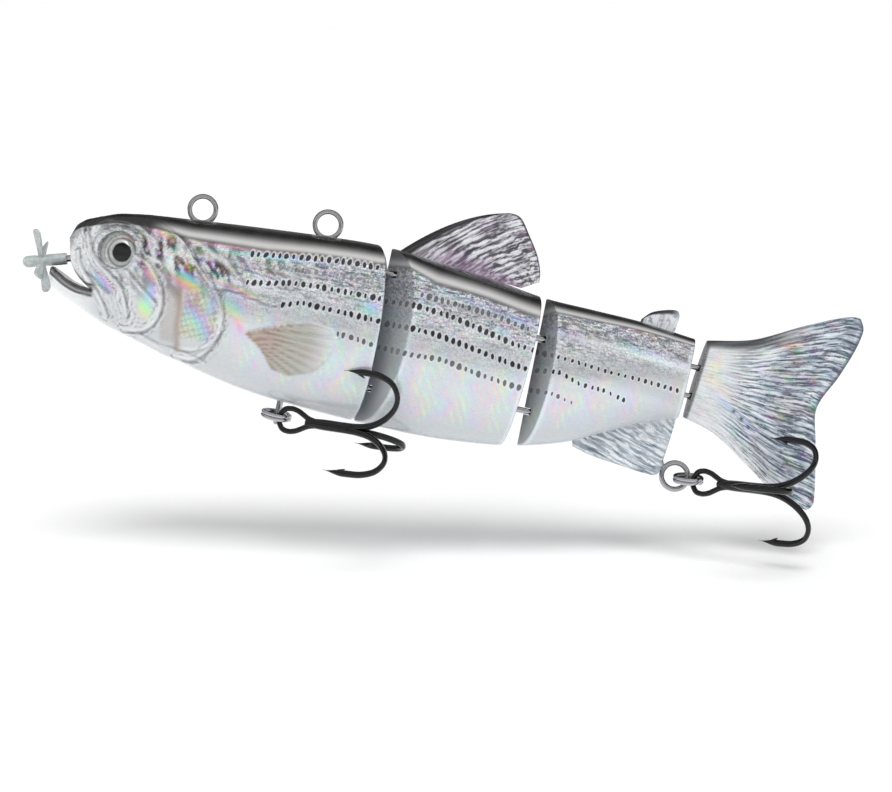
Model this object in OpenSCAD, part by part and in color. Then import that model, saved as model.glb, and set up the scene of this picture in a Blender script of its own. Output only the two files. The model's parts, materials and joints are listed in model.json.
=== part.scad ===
/* [Body shell] */
// Half of the body's greatest width
body_half_width = 8.7; // [7.5:0.1:10]
// Thickness of the moulded shell
wall = 1.3; // [1:0.1:1.6]
// Height of the widest level, as a share of the body's height
widest_level = 0.56; // [0.5:0.01:0.62]
// Fullness of the cross-section, where 1 is a plain ellipse
fullness = 0.78; // [0.65:0.01:1]
// Half of the thickness of the moulded fins
fin_half = 0.6; // [0.5:0.05:0.8]

/* [Joints between the sections] */
// Hinge axis of the front joint, along the body
front_pivot_x = 32.5; // [32:0.1:33]
// Hinge axis of the middle joint, along the body
middle_pivot_x = 57; // [56.6:0.1:57.4]
// Hinge axis of the tail joint, along the body
tail_pivot_x = 81.2; // [81:0.1:81.4]
// Radius of the two hinge pins in the trunk sections
pin_r = 0.6; // [0.5:0.05:0.7]
// Radius of the wire of the link loops
link_wire_r = 0.45; // [0.4:0.05:0.5]
// Running gap between a hinge pin and the loop around it
link_gap = 0.1; // [0.05:0.01:0.1]

/* [Tow eyes and hangers] */
// Inner radius of a tow eye
tow_eye_r = 1.6; // [1.4:0.1:1.8]
// Radius of the wire of the tow eyes and hangers
eye_wire_r = 0.4; // [0.35:0.05:0.5]
// Height of the rear tow eye's centre over the front one
rear_eye_z = 1.85; // [1.7:0.05:2]
// Distance between the two tow eyes
eye_spacing = 19.3; // [19:0.1:19.6]

/* [Hooks] */
// Length of a treble hook from its eye's centre to the start of its bends
shank_length = 12.6; // [12:0.1:13]
// Radius of a treble hook's shank
shank_r = 0.68; // [0.6:0.02:0.75]
// Radius of the wire of a treble hook's arms
arm_r = 0.5; // [0.42:0.02:0.55]
// Radius of a treble hook's bends
bend_r = 4.4; // [4:0.1:4.6]
// Radius of a split ring, to the middle of its wire
ring_r = 2.1; // [2:0.05:2.2]

/* [Drive] */
// Angle of the propeller shaft below the body's long axis
shaft_angle = 17; // [15:1:19]
// Radius of the propeller shaft
shaft_r = 0.5; // [0.4:0.05:0.55]
// Reach of the propeller blades
blade_reach = 5.5; // [4.5:0.1:5.7]
// Radius of the motor
motor_r = 3; // [2.6:0.1:3]
// Length of the motor
motor_length = 8.2; // [7.5:0.1:8.4]
// Radius of the rechargeable cell
cell_r = 4.8; // [4:0.1:5]

/* [Hidden] */
$fn = 48;

shell_colour = "gainsboro";
steel_colour = "silver";
hook_colour = [0.12, 0.12, 0.13];
clear_colour = [0.75, 0.82, 0.78];
over = 0.5;
far = 40;

// Design stations as [distance along the body, value]; the curves between them are smooth.
back_stations = [
  [-20.8, -13.5], [-19.9, -12.9], [-19.2, -11], [-18.8, -8.6], [-18, -6.3], [-15.5, -4.7],
  [-10.9, -3.1], [0, -1.75], [10, -0.75], [20, 0.1], [28, 0.5], [36, 0.05], [45, -0.7],
  [54, -1.9], [62, -2.1], [70, -2.3], [78.5, -3.1], [82, -3.2]
];
belly_stations = [
  [-20.8, -15.2], [-19.9, -16.6], [-15.5, -18.7], [-10.6, -20.6], [0, -23.3], [11.3, -25.6],
  [22.7, -26.5], [36, -26.8], [44, -26.5], [54, -25.2], [62, -22.9], [67.5, -20.2],
  [73.2, -17.3], [78.5, -15.6], [82, -15.4]
];
width_stations = [
  [-20.8, 0.11], [-19.9, 0.25], [-18.8, 0.4], [-17, 0.57], [-13, 0.76], [-8, 0.88],
  [0, 0.97], [10, 1], [22, 1], [36, 0.96], [46, 0.89], [56, 0.78], [66, 0.62], [78.5, 0.41], [82, 0.36]
];

// End faces as [x on the centre plane at height 0, change with height, change with width].
nose_end = [-20.8, 0, 0];
head_rear = [27.4, -0.055, 0.33];
front_trunk_front = [29.7, 0, 0.66];
front_trunk_rear = [53.4, 0.04, 0.17];
rear_trunk_front = [54.5, -0.02, 0.42];
rear_trunk_rear = [78.2, 0, 0];

hinge_block = 5.4;
rear_block = 2.8;
nose_block = 9.3;
nose_stations = 8;

// Levels of the link loops at each joint.
front_links = [-3.5, -21.3];
middle_links = [-8.2, -19.5];
tail_links = [-7.3, -11.8];
slot_height = 1.9;
link_r = pin_r + link_gap + link_wire_r;
tail_pin_r = 0.5;
tail_wire_r = 0.38;
tail_link_r = tail_pin_r + link_gap + tail_wire_r;
tail_slot_height = 1.4;
front_pin_span = [-24.6, -1.6];
middle_pin_span = [-23.2, -3.6];
tail_pin_span = [-13.8, -4.6];

// The propeller shaft leaves the nose here, and positions along it are measured inwards.
nose_hole = [-17.8, 0, -11.6];
cap_span = [-7.85, -6.1];
hub_span = [-6.1, -1];
shaft_span = [-6.9, 6.2];
bush_span = [0.2, 4];
seal_span = [4.1, 4.9];
coupling_span = [5.1, 7.6];
motor_start = 8;
motor_wall = 0.4;
end_cap_length = 1;
hub_r = 0.9;
bush_r = 1.35;
seal_r = 1.9;
coupling_r = 1.1;
running_gap = 0.05;
rotor_gap = 0.3;
blade_count = 4;
blade_first = 32;
blade_tip_r = 0.85;
blade_root_half = 0.5;
blade_thickness = 0.5;
blade_pitch = 52;

// Eyes
eye_x = -10.6;
eye_z = -9.1;
eye_socket_r = 3;
eye_yaw = 14;
eye_pitch = 4;
eye_face_y = 6.9;
eye_depth = 1.7;
iris_thickness = 0.6;
dome_height = 1.3;

// Inside the head
board_z = -6.2;
board_size = [25, 9, 0.8];
board_x = -0.6;
cell_span = [3, 23.6];
cell_z = -12.3;
ballast_r = 2;
head_ballast_x = 3;
head_ballast_z = -19.6;
head_ballast_length = 12;
front_ballast_x = 39;
front_ballast_z = -22.2;
front_ballast_length = 9;
front_ballast_r = 1.9;
rear_ballast_x = 62;
rear_ballast_z = -16.4;
rear_ballast_length = 5;
rear_ballast_r = 1.6;

// Hangers, rings and hooks
belly_hanger_x = 18;
hanger_half = 1.35;
hanger_bend_z = -28.1;
belly_cross = [belly_hanger_x, 0, -28];
belly_ring_tilt = 10;
belly_hook_turn = 32;
belly_hook_yaw = 14;
belly_hook_pitch = 4;
belly_hook_roll = 17;
tail_hanger_at = [79.7, 0, -24.3];
tail_hanger_r = 2.03;
tail_cross = [80, 0, -24.3];
tail_ring_tilt = 14;
tail_ring_yaw = 36;
tail_hook_yaw = 32;
tail_hook_pitch = 6;
tail_hook_roll = -28;
ring_wire = [0.3, 0.55];
hook_eye_r = 1.75;
hook_eye_wire_r = 0.42;
eye_to_ring = 0.55;
tip_length = 2.2;
arm_straight = 2.2;
arm_offset = 0.3;
tip_r = 0.05;
barb_depth = 0.35;
belly_centre = belly_cross + ring_r * [0, -cos(belly_ring_tilt), -sin(belly_ring_tilt)];
belly_reach = ring_r + eye_to_ring;
belly_hook_at = belly_centre + belly_reach * [
  cos(belly_hook_turn),
  -sin(belly_hook_turn) * cos(belly_ring_tilt),
  -sin(belly_hook_turn) * sin(belly_ring_tilt)
];
tail_ring_out = [cos(tail_ring_yaw), -sin(tail_ring_yaw), 0];
tail_centre = tail_cross + ring_r * tail_ring_out;
tail_hook_at = tail_cross + (2 * ring_r + eye_to_ring) * tail_ring_out;

// ---------- curves and skins ----------

function span_of(p, x, i = 0) = (i >= len(p) - 2 || x < p[i + 1][0]) ? i : span_of(p, x, i + 1);

function slope_of(p, i) =
  let (a = max(i - 1, 0), b = min(i + 1, len(p) - 1))
  (p[b][1] - p[a][1]) / (p[b][0] - p[a][0]);

// Smooth curve through stations p at x.
function curve(p, x) =
  let (
    i = span_of(p, x),
    h = p[i + 1][0] - p[i][0],
    t = (x - p[i][0]) / h,
    m0 = slope_of(p, i) * h,
    m1 = slope_of(p, i + 1) * h
  )
  (2 * pow(t, 3) - 3 * t * t + 1) * p[i][1] + (pow(t, 3) - 2 * t * t + t) * m0
  + (3 * t * t - 2 * pow(t, 3)) * p[i + 1][1] + (pow(t, 3) - t * t) * m1;

function back_z(x) = curve(back_stations, x);
function belly_z(x) = curve(belly_stations, x);
function half_width(x) = body_half_width * curve(width_stations, x);

// Width and height of the body's skin at angle a, from -90 on the belly to 90 on the back.
function skin_y(x, a, inset) = -(half_width(x) - inset) * pow(max(cos(a), 0), fullness);
function skin_z(x, a, inset) =
  let (
    top = back_z(x) - inset,
    bottom = belly_z(x) + inset,
    middle = bottom + (top - bottom) * widest_level
  )
  middle + sin(a) * (a >= 0 ? top - middle : middle - bottom);

function end_x(face, y, z) = face[0] + face[1] * z - face[2] * y;

// A skin point a share u of the way between two end faces, found by repeated correction.
function skin_point(front, rear, u, a, inset, y = 0, z = -12, steps = 5) =
  let (x = end_x(front, y, z) * (1 - u) + end_x(rear, y, z) * u)
  steps == 0
    ? [x, y, z]
    : skin_point(front, rear, u, a, inset, skin_y(x, a, inset), skin_z(x, a, inset), steps - 1);

function pushed(face, by) = [face[0] + by, face[1], face[2]];

// Two triangles for each cell of a grid of points, with rows of m + 1 points from index base.
function cells(base, rows, m, flip) = [
  for (i = [0:rows - 1], j = [0:m - 1])
    let (
      a = base + i * (m + 1) + j,
      b = a + 1,
      c = a + m + 1,
      d = c + 1
    )
    each flip ? [[a, c, b], [b, c, d]] : [[a, b, c], [b, d, c]]
];

function fan(list) = [for (i = [1:len(list) - 2]) [list[0], list[i], list[i + 1]]];
function turned(list) = [for (t = list) [t[0], t[2], t[1]]];

// Left half of one hollow section, closed at both ends and open only at the centre plane.
// The outer skin has lead more rows than the cavity, which starts that much further back.
module left_shell(front, rear, front_block, end_block, rows, lead = 0, around = 14, ease = 1) {
  inner_rows = rows - lead;
  inner_front = pushed(front, front_block);
  inner_rear = pushed(rear, -end_block);
  angles = [for (j = [0:around]) -90 + 180 * j / around];
  function spread(i, n) = pow(i / n, ease);
  function inner_spread(i) =
    (spread(i + lead, rows) - spread(lead, rows)) / (1 - spread(lead, rows));
  outer = [
    for (i = [0:rows], a = angles) skin_point(front, rear, spread(i, rows), a, 0)
  ];
  inner = [
    for (i = [0:inner_rows], a = angles)
      skin_point(inner_front, inner_rear, inner_spread(i), a, wall)
  ];
  row = around + 1;
  base = len(outer);
  function out_low(i) = i * row;
  function out_high(i) = i * row + around;
  function in_low(i) = base + i * row;
  function in_high(i) = base + i * row + around;
  belly_strip = [
    for (i = [0:inner_rows - 1])
      each [
        [out_low(i + lead), out_low(i + lead + 1), in_low(i)],
        [in_low(i), out_low(i + lead + 1), in_low(i + 1)]
      ]
  ];
  back_strip = [
    for (i = [0:inner_rows - 1])
      each [
        [out_high(i + lead), in_high(i), out_high(i + lead + 1)],
        [in_high(i), in_high(i + 1), out_high(i + lead + 1)]
      ]
  ];
  front_seam = [
    in_low(0),
    in_high(0),
    for (i = [lead:-1:0]) out_high(i),
    for (i = [0:lead]) out_low(i)
  ];
  rear_seam = [out_low(rows), out_high(rows), in_high(inner_rows), in_low(inner_rows)];
  faces = concat(
    cells(0, rows, around, false),
    cells(base, inner_rows, around, true),
    turned(fan([for (j = [0:around]) j])),
    fan([for (j = [0:around]) out_low(rows) + j]),
    fan([for (j = [0:around]) base + j]),
    turned(fan([for (j = [0:around]) in_low(inner_rows) + j])),
    belly_strip,
    back_strip,
    fan(front_seam),
    fan(rear_seam)
  );
  polyhedron(points = concat(outer, inner), faces = faces, convexity = 6);
}

// Upright web in the left half that stands on the belly and holds what lies in its top.
module web(x, half, top) {
  base = belly_z(x + 1) + wall - 0.3;
  translate([x, -half, base])
    cube([1.2, half, top - base]);
}

module mirrored() {
  mirror([0, 1, 0]) children();
}

// A round rod between two points.
module rod(from, to, r) {
  d = to - from;
  translate(from)
    rotate([0, acos(d[2] / norm(d)), atan2(d[1], d[0])])
      cylinder(r = r, h = norm(d));
}

// A flat fin in the left half, moulded on at the centre plane.
module left_fin(outline, half = fin_half) {
  rotate([90, 0, 0])
    linear_extrude(height = half)
      polygon(outline);
}

// ---------- joints between sections ----------

// U of wire that lies level, round the pin at pivot x, with two legs running forward.
module link_loop(x, z, leg_end, loop_r, wire_r) {
  translate([x, 0, z]) {
    rotate([0, 0, -90])
      rotate_extrude(angle = 180)
        translate([loop_r, 0])
          circle(r = wire_r);
    for (side = [-1, 1])
      translate([leg_end - x, side * loop_r, 0])
        rotate([0, 90, 0])
          cylinder(r = wire_r, h = x - leg_end);
  }
}

// Space for a link loop as the section behind it swings.
module link_slot(x, z, loop_r, wire_r, height, depth, spread) {
  room = loop_r + wire_r + 0.25;
  translate([x, 0, z - height / 2])
    linear_extrude(height = height) {
      circle(r = room);
      polygon([[0, room], [-depth, room + spread], [-depth, -room - spread], [0, -room]]);
    }
}

module pin_bore(x, span, r) {
  translate([x, 0, span[0]])
    cylinder(r = r, h = span[1] - span[0]);
}

module leg_bores(x0, x1, levels, loop_r, wire_r) {
  for (z = levels, side = [-1, 1])
    translate([x0, side * loop_r, z])
      rotate([0, 90, 0])
        cylinder(r = wire_r, h = x1 - x0);
}

// ---------- drive line ----------

// Puts a child, which runs along +Z, on the shaft axis at a distance inwards from the nose.
module on_shaft(at) {
  translate(nose_hole)
    rotate([0, 90 - shaft_angle, 0])
      translate([0, 0, at])
        children();
}

module shaft_tube(span, outer, inner) {
  on_shaft(span[0])
    difference() {
      cylinder(r = outer, h = span[1] - span[0]);
      translate([0, 0, -over])
        cylinder(r = inner, h = span[1] - span[0] + 2 * over);
    }
}

module shaft_bore(span, r) {
  on_shaft(span[0]) cylinder(r = r, h = span[1] - span[0]);
}

// ---------- head ----------

// Left eye socket's frame: +Z points out of the cheek.
module at_left_eye() {
  translate([eye_x, -eye_face_y, eye_z])
    rotate([90 - eye_pitch, 0, -eye_yaw])
      children();
}

mouth_outline = [
  [-22, -8], [-18.85, -8.2], [-18.2, -9.6], [-17.75, -11.2], [-17.2, -12.5], [-16.4, -13.6],
  [-15.3, -14.6], [-13.6, -15.7], [-15.4, -15.5], [-17.6, -14.9], [-19.4, -14], [-20.4, -13.5],
  [-22, -13.3]
];

module head_half() {
  difference() {
    union() {
      left_shell(nose_end, head_rear, nose_block, rear_block, 20, nose_stations, 14, 2);
      at_left_eye()
        translate([0, 0, -eye_depth - 1])
          cylinder(r = eye_socket_r + 0.5, h = 1.8);
      for (x = [0, eye_spacing])
        translate([x - 1.2, -1.2, board_z + board_size[2] + 0.4])
          cube([2.4, 1.2, back_z(x) - board_z - board_size[2] - 0.9]);
      translate([belly_hanger_x - 1.2, -2.6, -25.9])
        cube([2.4, 2.6, 3.4]);
      for (x = [-8.8, -4.6])
        web(x, motor_r + 0.6, -10);
      for (x = [5, 12])
        web(x, ballast_r + 1.2, cell_z);
      for (side = [-1, 1])
        translate([cell_span[0] + 2, -half_width(12) + 0.7, cell_z + side * 2.4 - 0.5])
          cube([15, half_width(12) - 4, 1]);
    }
    on_shaft(motor_start)
      cylinder(r = motor_r, h = motor_length + end_cap_length);
    bar(cell_span[0], cell_z, cell_span[1] - cell_span[0], cell_r);
    bar(head_ballast_x, head_ballast_z, head_ballast_length, ballast_r);
    at_left_eye()
      translate([0, 0, -eye_depth])
        cylinder(r = eye_socket_r, h = far);
    translate([0, over, 0])
      rotate([90, 0, 0])
        linear_extrude(height = far)
          polygon(mouth_outline);
    shaft_bore([-far / 4, bush_span[1]], bush_r);
    shaft_bore([bush_span[1] - over, seal_span[1]], seal_r);
    shaft_bore([seal_span[1] - over, motor_start + over], coupling_r + 0.5);
    tow_eye_wire(board_z);
    translate([eye_spacing, 0, rear_eye_z])
      tow_eye_wire(board_z - rear_eye_z);
    translate([belly_hanger_x, 0, 0])
      hanger_legs(-22.6, 1);
    leg_bores(22, 34, front_links, link_r, link_wire_r);
  }
}

module head_shell_left() {
  color(shell_colour) head_half();
}

module head_shell_right() {
  color(shell_colour) mirrored() head_half();
}

module eye_iris() {
  at_left_eye()
    translate([0, 0, -eye_depth])
      cylinder(r = eye_socket_r, h = iris_thickness);
}

// Cap of a sphere over the iris.
module eye_dome() {
  sphere_r = (eye_socket_r * eye_socket_r + dome_height * dome_height) / (2 * dome_height);
  at_left_eye()
    translate([0, 0, iris_thickness - eye_depth])
      intersection() {
        cylinder(r = eye_socket_r, h = dome_height + over);
        translate([0, 0, dome_height - sphere_r])
          sphere(r = sphere_r, $fn = 96);
      }
}

module eye_iris_left() {
  color("whitesmoke") eye_iris();
}

module eye_iris_right() {
  color("whitesmoke") mirrored() eye_iris();
}

module eye_dome_left() {
  color("lightgrey") eye_dome();
}

module eye_dome_right() {
  color("lightgrey") mirrored() eye_dome();
}

module shaft_bush() {
  color("dimgray") shaft_tube(bush_span, bush_r, shaft_r + running_gap);
}

module shaft_seal() {
  color("black") shaft_tube(seal_span, seal_r, shaft_r + running_gap);
}

module motor_can() {
  color(steel_colour)
    on_shaft(motor_start)
      difference() {
        cylinder(r = motor_r, h = motor_length);
        translate([0, 0, motor_wall])
          cylinder(r = motor_r - motor_wall, h = motor_length);
        translate([0, 0, -over])
          cylinder(r = shaft_r + running_gap, h = motor_length);
      }
}

module motor_end_cap() {
  color("ivory")
    on_shaft(motor_start + motor_length)
      cylinder(r = motor_r, h = end_cap_length);
}

module motor_rotor() {
  color("peru") {
    on_shaft(motor_start + motor_wall + rotor_gap)
      cylinder(r = motor_r - motor_wall - rotor_gap, h = motor_length - motor_wall - 2 * rotor_gap);
    on_shaft(shaft_span[1])
      cylinder(r = shaft_r, h = motor_start + motor_wall + rotor_gap - shaft_span[1] + over);
  }
}

module propeller_shaft() {
  color(steel_colour)
    on_shaft(shaft_span[0])
      cylinder(r = shaft_r, h = shaft_span[1] - shaft_span[0]);
}

module shaft_coupling() {
  color("darkslategray") shaft_tube(coupling_span, coupling_r, shaft_r);
}

// One blade: a thin paddle that widens outwards, set at an angle to the shaft.
module blade() {
  tip_x = blade_reach - blade_tip_r;
  rotate([blade_pitch, 0, 0])
    linear_extrude(height = blade_thickness, center = true) {
      polygon([
        [hub_r - 0.35, -blade_root_half], [tip_x, -blade_tip_r],
        [tip_x, blade_tip_r], [hub_r - 0.35, blade_root_half]
      ]);
      translate([tip_x, 0])
        circle(r = blade_tip_r);
    }
}

module propeller() {
  color(clear_colour)
    difference() {
      union() {
        on_shaft(hub_span[0])
          cylinder(r = hub_r, h = hub_span[1] - hub_span[0]);
        for (i = [0:blade_count - 1])
          on_shaft(hub_span[0] + 1.2)
            rotate([0, 0, blade_first + i * 360 / blade_count])
              blade();
      }
      shaft_bore([hub_span[0] - over, hub_span[1] + over], shaft_r);
    }
}

module propeller_cap() {
  color(clear_colour)
    difference() {
      union() {
        on_shaft(cap_span[0] + hub_r)
          cylinder(r = hub_r, h = cap_span[1] - cap_span[0] - hub_r);
        on_shaft(cap_span[0] + hub_r)
          sphere(r = hub_r);
      }
      shaft_bore([shaft_span[0], 0], shaft_r);
    }
}

module battery_cell() {
  color("steelblue") {
    translate([cell_span[0], 0, cell_z])
      rotate([0, 90, 0])
        cylinder(r = cell_r, h = cell_span[1] - cell_span[0]);
    translate([cell_span[1], 0, cell_z])
      rotate([0, 90, 0])
        cylinder(r = 1.4, h = 0.5);
  }
}

module circuit_board() {
  color("seagreen")
    translate([board_x, -board_size[1] / 2, board_z])
      cube(board_size);
}

module board_chips() {
  color([0.15, 0.15, 0.16]) {
    translate([6, -2, board_z + board_size[2]])
      cube([4, 4, 1]);
    translate([12.5, -1.6, board_z + board_size[2]])
      cube([3.2, 3.2, 1]);
  }
}

module indicator_lamp() {
  color("orangered")
    translate([3, 0, board_z + board_size[2] + 0.02]) {
      cylinder(r = 0.9, h = 0.6);
      translate([0, 0, 0.6])
        sphere(r = 0.55);
    }
}

module motor_leads() {
  color("firebrick")
    for (side = [-1, 1])
      rod([-1.05, side * 1.6, -7.7], [0.4, side * 1.6, board_z], 0.3);
}

// Ring of wire in the vertical plane, on a stem.
module tow_eye_wire(stem_end) {
  rotate([90, 0, 0])
    rotate_extrude()
      translate([tow_eye_r + eye_wire_r, 0])
        circle(r = eye_wire_r);
  translate([0, 0, stem_end])
    cylinder(r = eye_wire_r, h = -tow_eye_r - eye_wire_r - stem_end);
}

// Tow eye with a short flat land on its inside.
module tow_eye(stem_end) {
  land = 0.4;
  difference() {
    tow_eye_wire(stem_end);
    rotate([90, 0, 0])
      cylinder(r = tow_eye_r + eye_wire_r - sqrt(pow(eye_wire_r, 2) - pow(land / 2, 2)),
        h = 4, center = true);
  }
}

module front_tow_eye() {
  color(steel_colour) tow_eye(board_z + board_size[2]);
}

module rear_tow_eye() {
  color(steel_colour)
    translate([eye_spacing, 0, rear_eye_z])
      tow_eye(board_z + board_size[2] - rear_eye_z);
}

module hanger_legs(top, extra) {
  for (side = [-1, 1])
    translate([0, side * hanger_half, hanger_bend_z - extra])
      cylinder(r = eye_wire_r, h = top - hanger_bend_z + extra);
}

// Staple across the body, with its legs in the belly.
module belly_hanger() {
  color(steel_colour)
    translate([belly_hanger_x, 0, 0]) {
      hanger_legs(-22.6, 0);
      translate([0, 0, hanger_bend_z])
        rotate([90, 0, 90])
          rotate([0, 0, 180])
            rotate_extrude(angle = 180)
              translate([hanger_half, 0])
                circle(r = eye_wire_r);
    }
}

// Round bar that lies along the body.
module bar(x, z, length, r) {
  translate([x, 0, z])
    rotate([0, 90, 0])
      cylinder(r = r, h = length);
}

module head_ballast() {
  color("slategray") bar(head_ballast_x, head_ballast_z, head_ballast_length, ballast_r);
}

module front_joint_loops() {
  color(steel_colour)
    for (z = front_links)
      link_loop(front_pivot_x, z, 23.6, link_r, link_wire_r);
}

// ---------- front trunk ----------

dorsal_outline = [
  [30.6, -0.9], [30.6, 1.2], [32.6, 2.9], [37.4, 6.1], [42.2, 8.5], [46.2, 9.7], [47.8, 9.4],
  [49.8, 7.1], [51.7, 4.3], [52.8, 1.7], [52.9, 0.1], [51.8, -0.4], [50.1, 0.1],
  [49.4, -1.5], [36, -0.9]
];

module front_trunk_half() {
  difference() {
    union() {
      left_shell(front_trunk_front, front_trunk_rear, hinge_block, rear_block, 12);
      left_fin(dorsal_outline);
      for (x = [40, 45])
        web(x, front_ballast_r + 0.7, front_ballast_z);
    }
    bar(front_ballast_x, front_ballast_z, front_ballast_length, front_ballast_r);
    pin_bore(front_pivot_x, front_pin_span, pin_r);
    for (z = front_links)
      link_slot(front_pivot_x, z, link_r, link_wire_r, slot_height, 4, 2);
    leg_bores(48, 60, middle_links, link_r, link_wire_r);
  }
}

module front_trunk_left() {
  color(shell_colour) front_trunk_half();
}

module front_trunk_right() {
  color(shell_colour) mirrored() front_trunk_half();
}

module front_hinge_pin() {
  color(steel_colour) pin_bore(front_pivot_x, front_pin_span, pin_r);
}

module front_trunk_ballast() {
  color("slategray") bar(front_ballast_x, front_ballast_z, front_ballast_length, front_ballast_r);
}

module middle_joint_loops() {
  color(steel_colour)
    for (z = middle_links)
      link_loop(middle_pivot_x, z, 49.4, link_r, link_wire_r);
}

// ---------- rear trunk ----------

adipose_outline = [
  [69.5, -2.9], [69.5, -1.7], [70.8, -0.5], [72.8, 0.3], [74.6, 0.6], [75.1, 0], [75, -1.1],
  [74.7, -3.4]
];
anal_outline = [
  [63.2, -21.4], [63.6, -23.4], [69, -24.3], [75, -24.9], [77.2, -24.6], [77.7, -20.5],
  [78, -15], [74, -16], [70, -17.8], [66, -20]
];

module rear_trunk_half() {
  difference() {
    union() {
      left_shell(rear_trunk_front, rear_trunk_rear, hinge_block, rear_block, 12);
      left_fin(adipose_outline, 0.5);
      left_fin(anal_outline);
      for (x = [62.4, 65])
        web(x, rear_ballast_r + 0.6, rear_ballast_z);
    }
    bar(rear_ballast_x, rear_ballast_z, rear_ballast_length, rear_ballast_r);
    pin_bore(middle_pivot_x, middle_pin_span, pin_r);
    for (z = middle_links)
      link_slot(middle_pivot_x, z, link_r, link_wire_r, slot_height, 4, 2);
    leg_bores(73, 79, tail_links, tail_link_r, tail_wire_r);
    tail_hanger_wire();
  }
}

module rear_trunk_left() {
  color(shell_colour) rear_trunk_half();
}

module rear_trunk_right() {
  color(shell_colour) mirrored() rear_trunk_half();
}

module middle_hinge_pin() {
  color(steel_colour) pin_bore(middle_pivot_x, middle_pin_span, pin_r);
}

module rear_trunk_ballast() {
  color("slategray") bar(rear_ballast_x, rear_ballast_z, rear_ballast_length, rear_ballast_r);
}

module tail_joint_loops() {
  color(steel_colour)
    for (z = tail_links)
      link_loop(tail_pivot_x, z, 74, tail_link_r, tail_wire_r);
}

// Ring at the lower rear corner of the anal fin, on a stem that is moulded into the fin.
module tail_hanger_wire() {
  translate(tail_hanger_at)
    rotate([90, 0, 0])
      rotate_extrude()
        translate([tail_hanger_r, 0])
          circle(r = eye_wire_r);
  rod(tail_hanger_at + [-tail_hanger_r, 0, 0.6], [75.2, 0, -18.6], eye_wire_r);
}

module tail_hanger() {
  color(steel_colour) tail_hanger_wire();
}

// ---------- tail ----------

tail_root = [[79.0, -15.2], [80.05, -2.9]];
tail_tips = [[101.7, -25.4], [103.5, 5.4]];
tail_upper = [[80.05, -2.9], [87, -1.2], [94.5, 2.7], [100.7, 5.4], [103.5, 5.4]];
tail_lower = [[79.0, -15.2], [84.3, -16.7], [90, -20.2], [95.5, -23.6], [101.7, -25.4]];
// The trailing edge as [share of the way from the lower tip to the upper one, depth of the fork].
tail_fork = [[0, 0], [0.18, 1.2], [0.36, 2.7], [0.52, 3.9], [0.7, 1.9], [0.86, 0.5], [1, 0]];

function along(p, u) =
  let (x = p[0][0] + (p[len(p) - 1][0] - p[0][0]) * u)
  [x, curve(p, x)];
function mix(a, b, t) = a * (1 - t) + b * t;
function fork_point(v) =
  mix(tail_tips[0], tail_tips[1], v) - [curve(tail_fork, v), 0];

// Point of the tail's outline patch, with u from root to trailing edge and v from below to above.
function tail_point(u, v) =
  mix(along(tail_lower, u), along(tail_upper, u), v)
  + mix(mix(tail_root[0], tail_root[1], v), fork_point(v), u)
  - mix(mix(tail_root[0], tail_tips[0], u), mix(tail_root[1], tail_tips[1], u), v);

// Half thickness of the tail: a rounded stump that fades into a thin fin.
function tail_thickness(u, v) =
  let (
    stump = pow(1 - u, 4) * pow(max(sin(180 * v), 0), 0.6),
    edge = 0.28 + 0.2 * (1 - u),
    ridge = 0.35 * (1 - u) * sin(180 * v)
  )
  2.6 * stump + edge + ridge;

module tail_half() {
  rows = 16;
  across = 14;
  row = across + 1;
  grid = [for (i = [0:rows], j = [0:across]) [pow(i / rows, 1.3), j / across]];
  count = len(grid);
  side = [for (g = grid) let (p = tail_point(g[0], g[1])) [p[0], -tail_thickness(g[0], g[1]), p[1]]];
  flat = [for (g = grid) let (p = tail_point(g[0], g[1])) [p[0], 0, p[1]]];
  rim = concat(
    [for (j = [0:across - 1]) j],
    [for (i = [0:rows - 1]) i * row + across],
    [for (j = [across:-1:1]) rows * row + j],
    [for (i = [rows:-1:1]) i * row]
  );
  rim_faces = [
    for (k = [0:len(rim) - 1])
      let (a = rim[k], b = rim[(k + 1) % len(rim)])
      each [[a, a + count, b], [b, a + count, b + count]]
  ];
  difference() {
    polyhedron(
      points = concat(side, flat),
      faces = concat(cells(0, rows, across, false), cells(count, rows, across, true), rim_faces),
      convexity = 6
    );
    pin_bore(tail_pivot_x, tail_pin_span, tail_pin_r);
    for (z = tail_links)
      link_slot(tail_pivot_x, z, tail_link_r, tail_wire_r, tail_slot_height, 4, 1.4);
  }
}

module tail_left() {
  color(shell_colour) tail_half();
}

module tail_right() {
  color(shell_colour) mirrored() tail_half();
}

module tail_hinge_pin() {
  color(steel_colour) pin_bore(tail_pivot_x, tail_pin_span, tail_pin_r);
}

// ---------- rings and hooks ----------

module split_ring() {
  rotate_extrude()
    translate([ring_r, 0]) {
      square([2 * ring_wire[0], 2 * (ring_wire[1] - ring_wire[0])], center = true);
      for (side = [-1, 1])
        translate([0, side * (ring_wire[1] - ring_wire[0])])
          circle(r = ring_wire[0]);
    }
}

// One arm of a treble hook in the plane of +X and +Z, with its bend, point and barb.
module hook_arm() {
  top = 2 * bend_r + arm_offset;
  straight_start = shank_length - arm_straight;
  translate([shank_length, 0, bend_r + arm_offset])
    rotate([90, 0, 0])
      rotate([0, 0, -90])
        rotate_extrude(angle = 180)
          translate([bend_r, 0])
            circle(r = arm_r);
  translate([straight_start, 0, top])
    rotate([0, 90, 0])
      cylinder(r = arm_r, h = arm_straight);
  translate([straight_start - tip_length, 0, top])
    rotate([0, 90, 0])
      cylinder(r1 = tip_r, r2 = arm_r, h = tip_length);
  translate([straight_start, 0, top - barb_depth])
    rotate([0, 65, 0])
      cylinder(r1 = 0.32, r2 = tip_r, h = 1);
}

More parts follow.
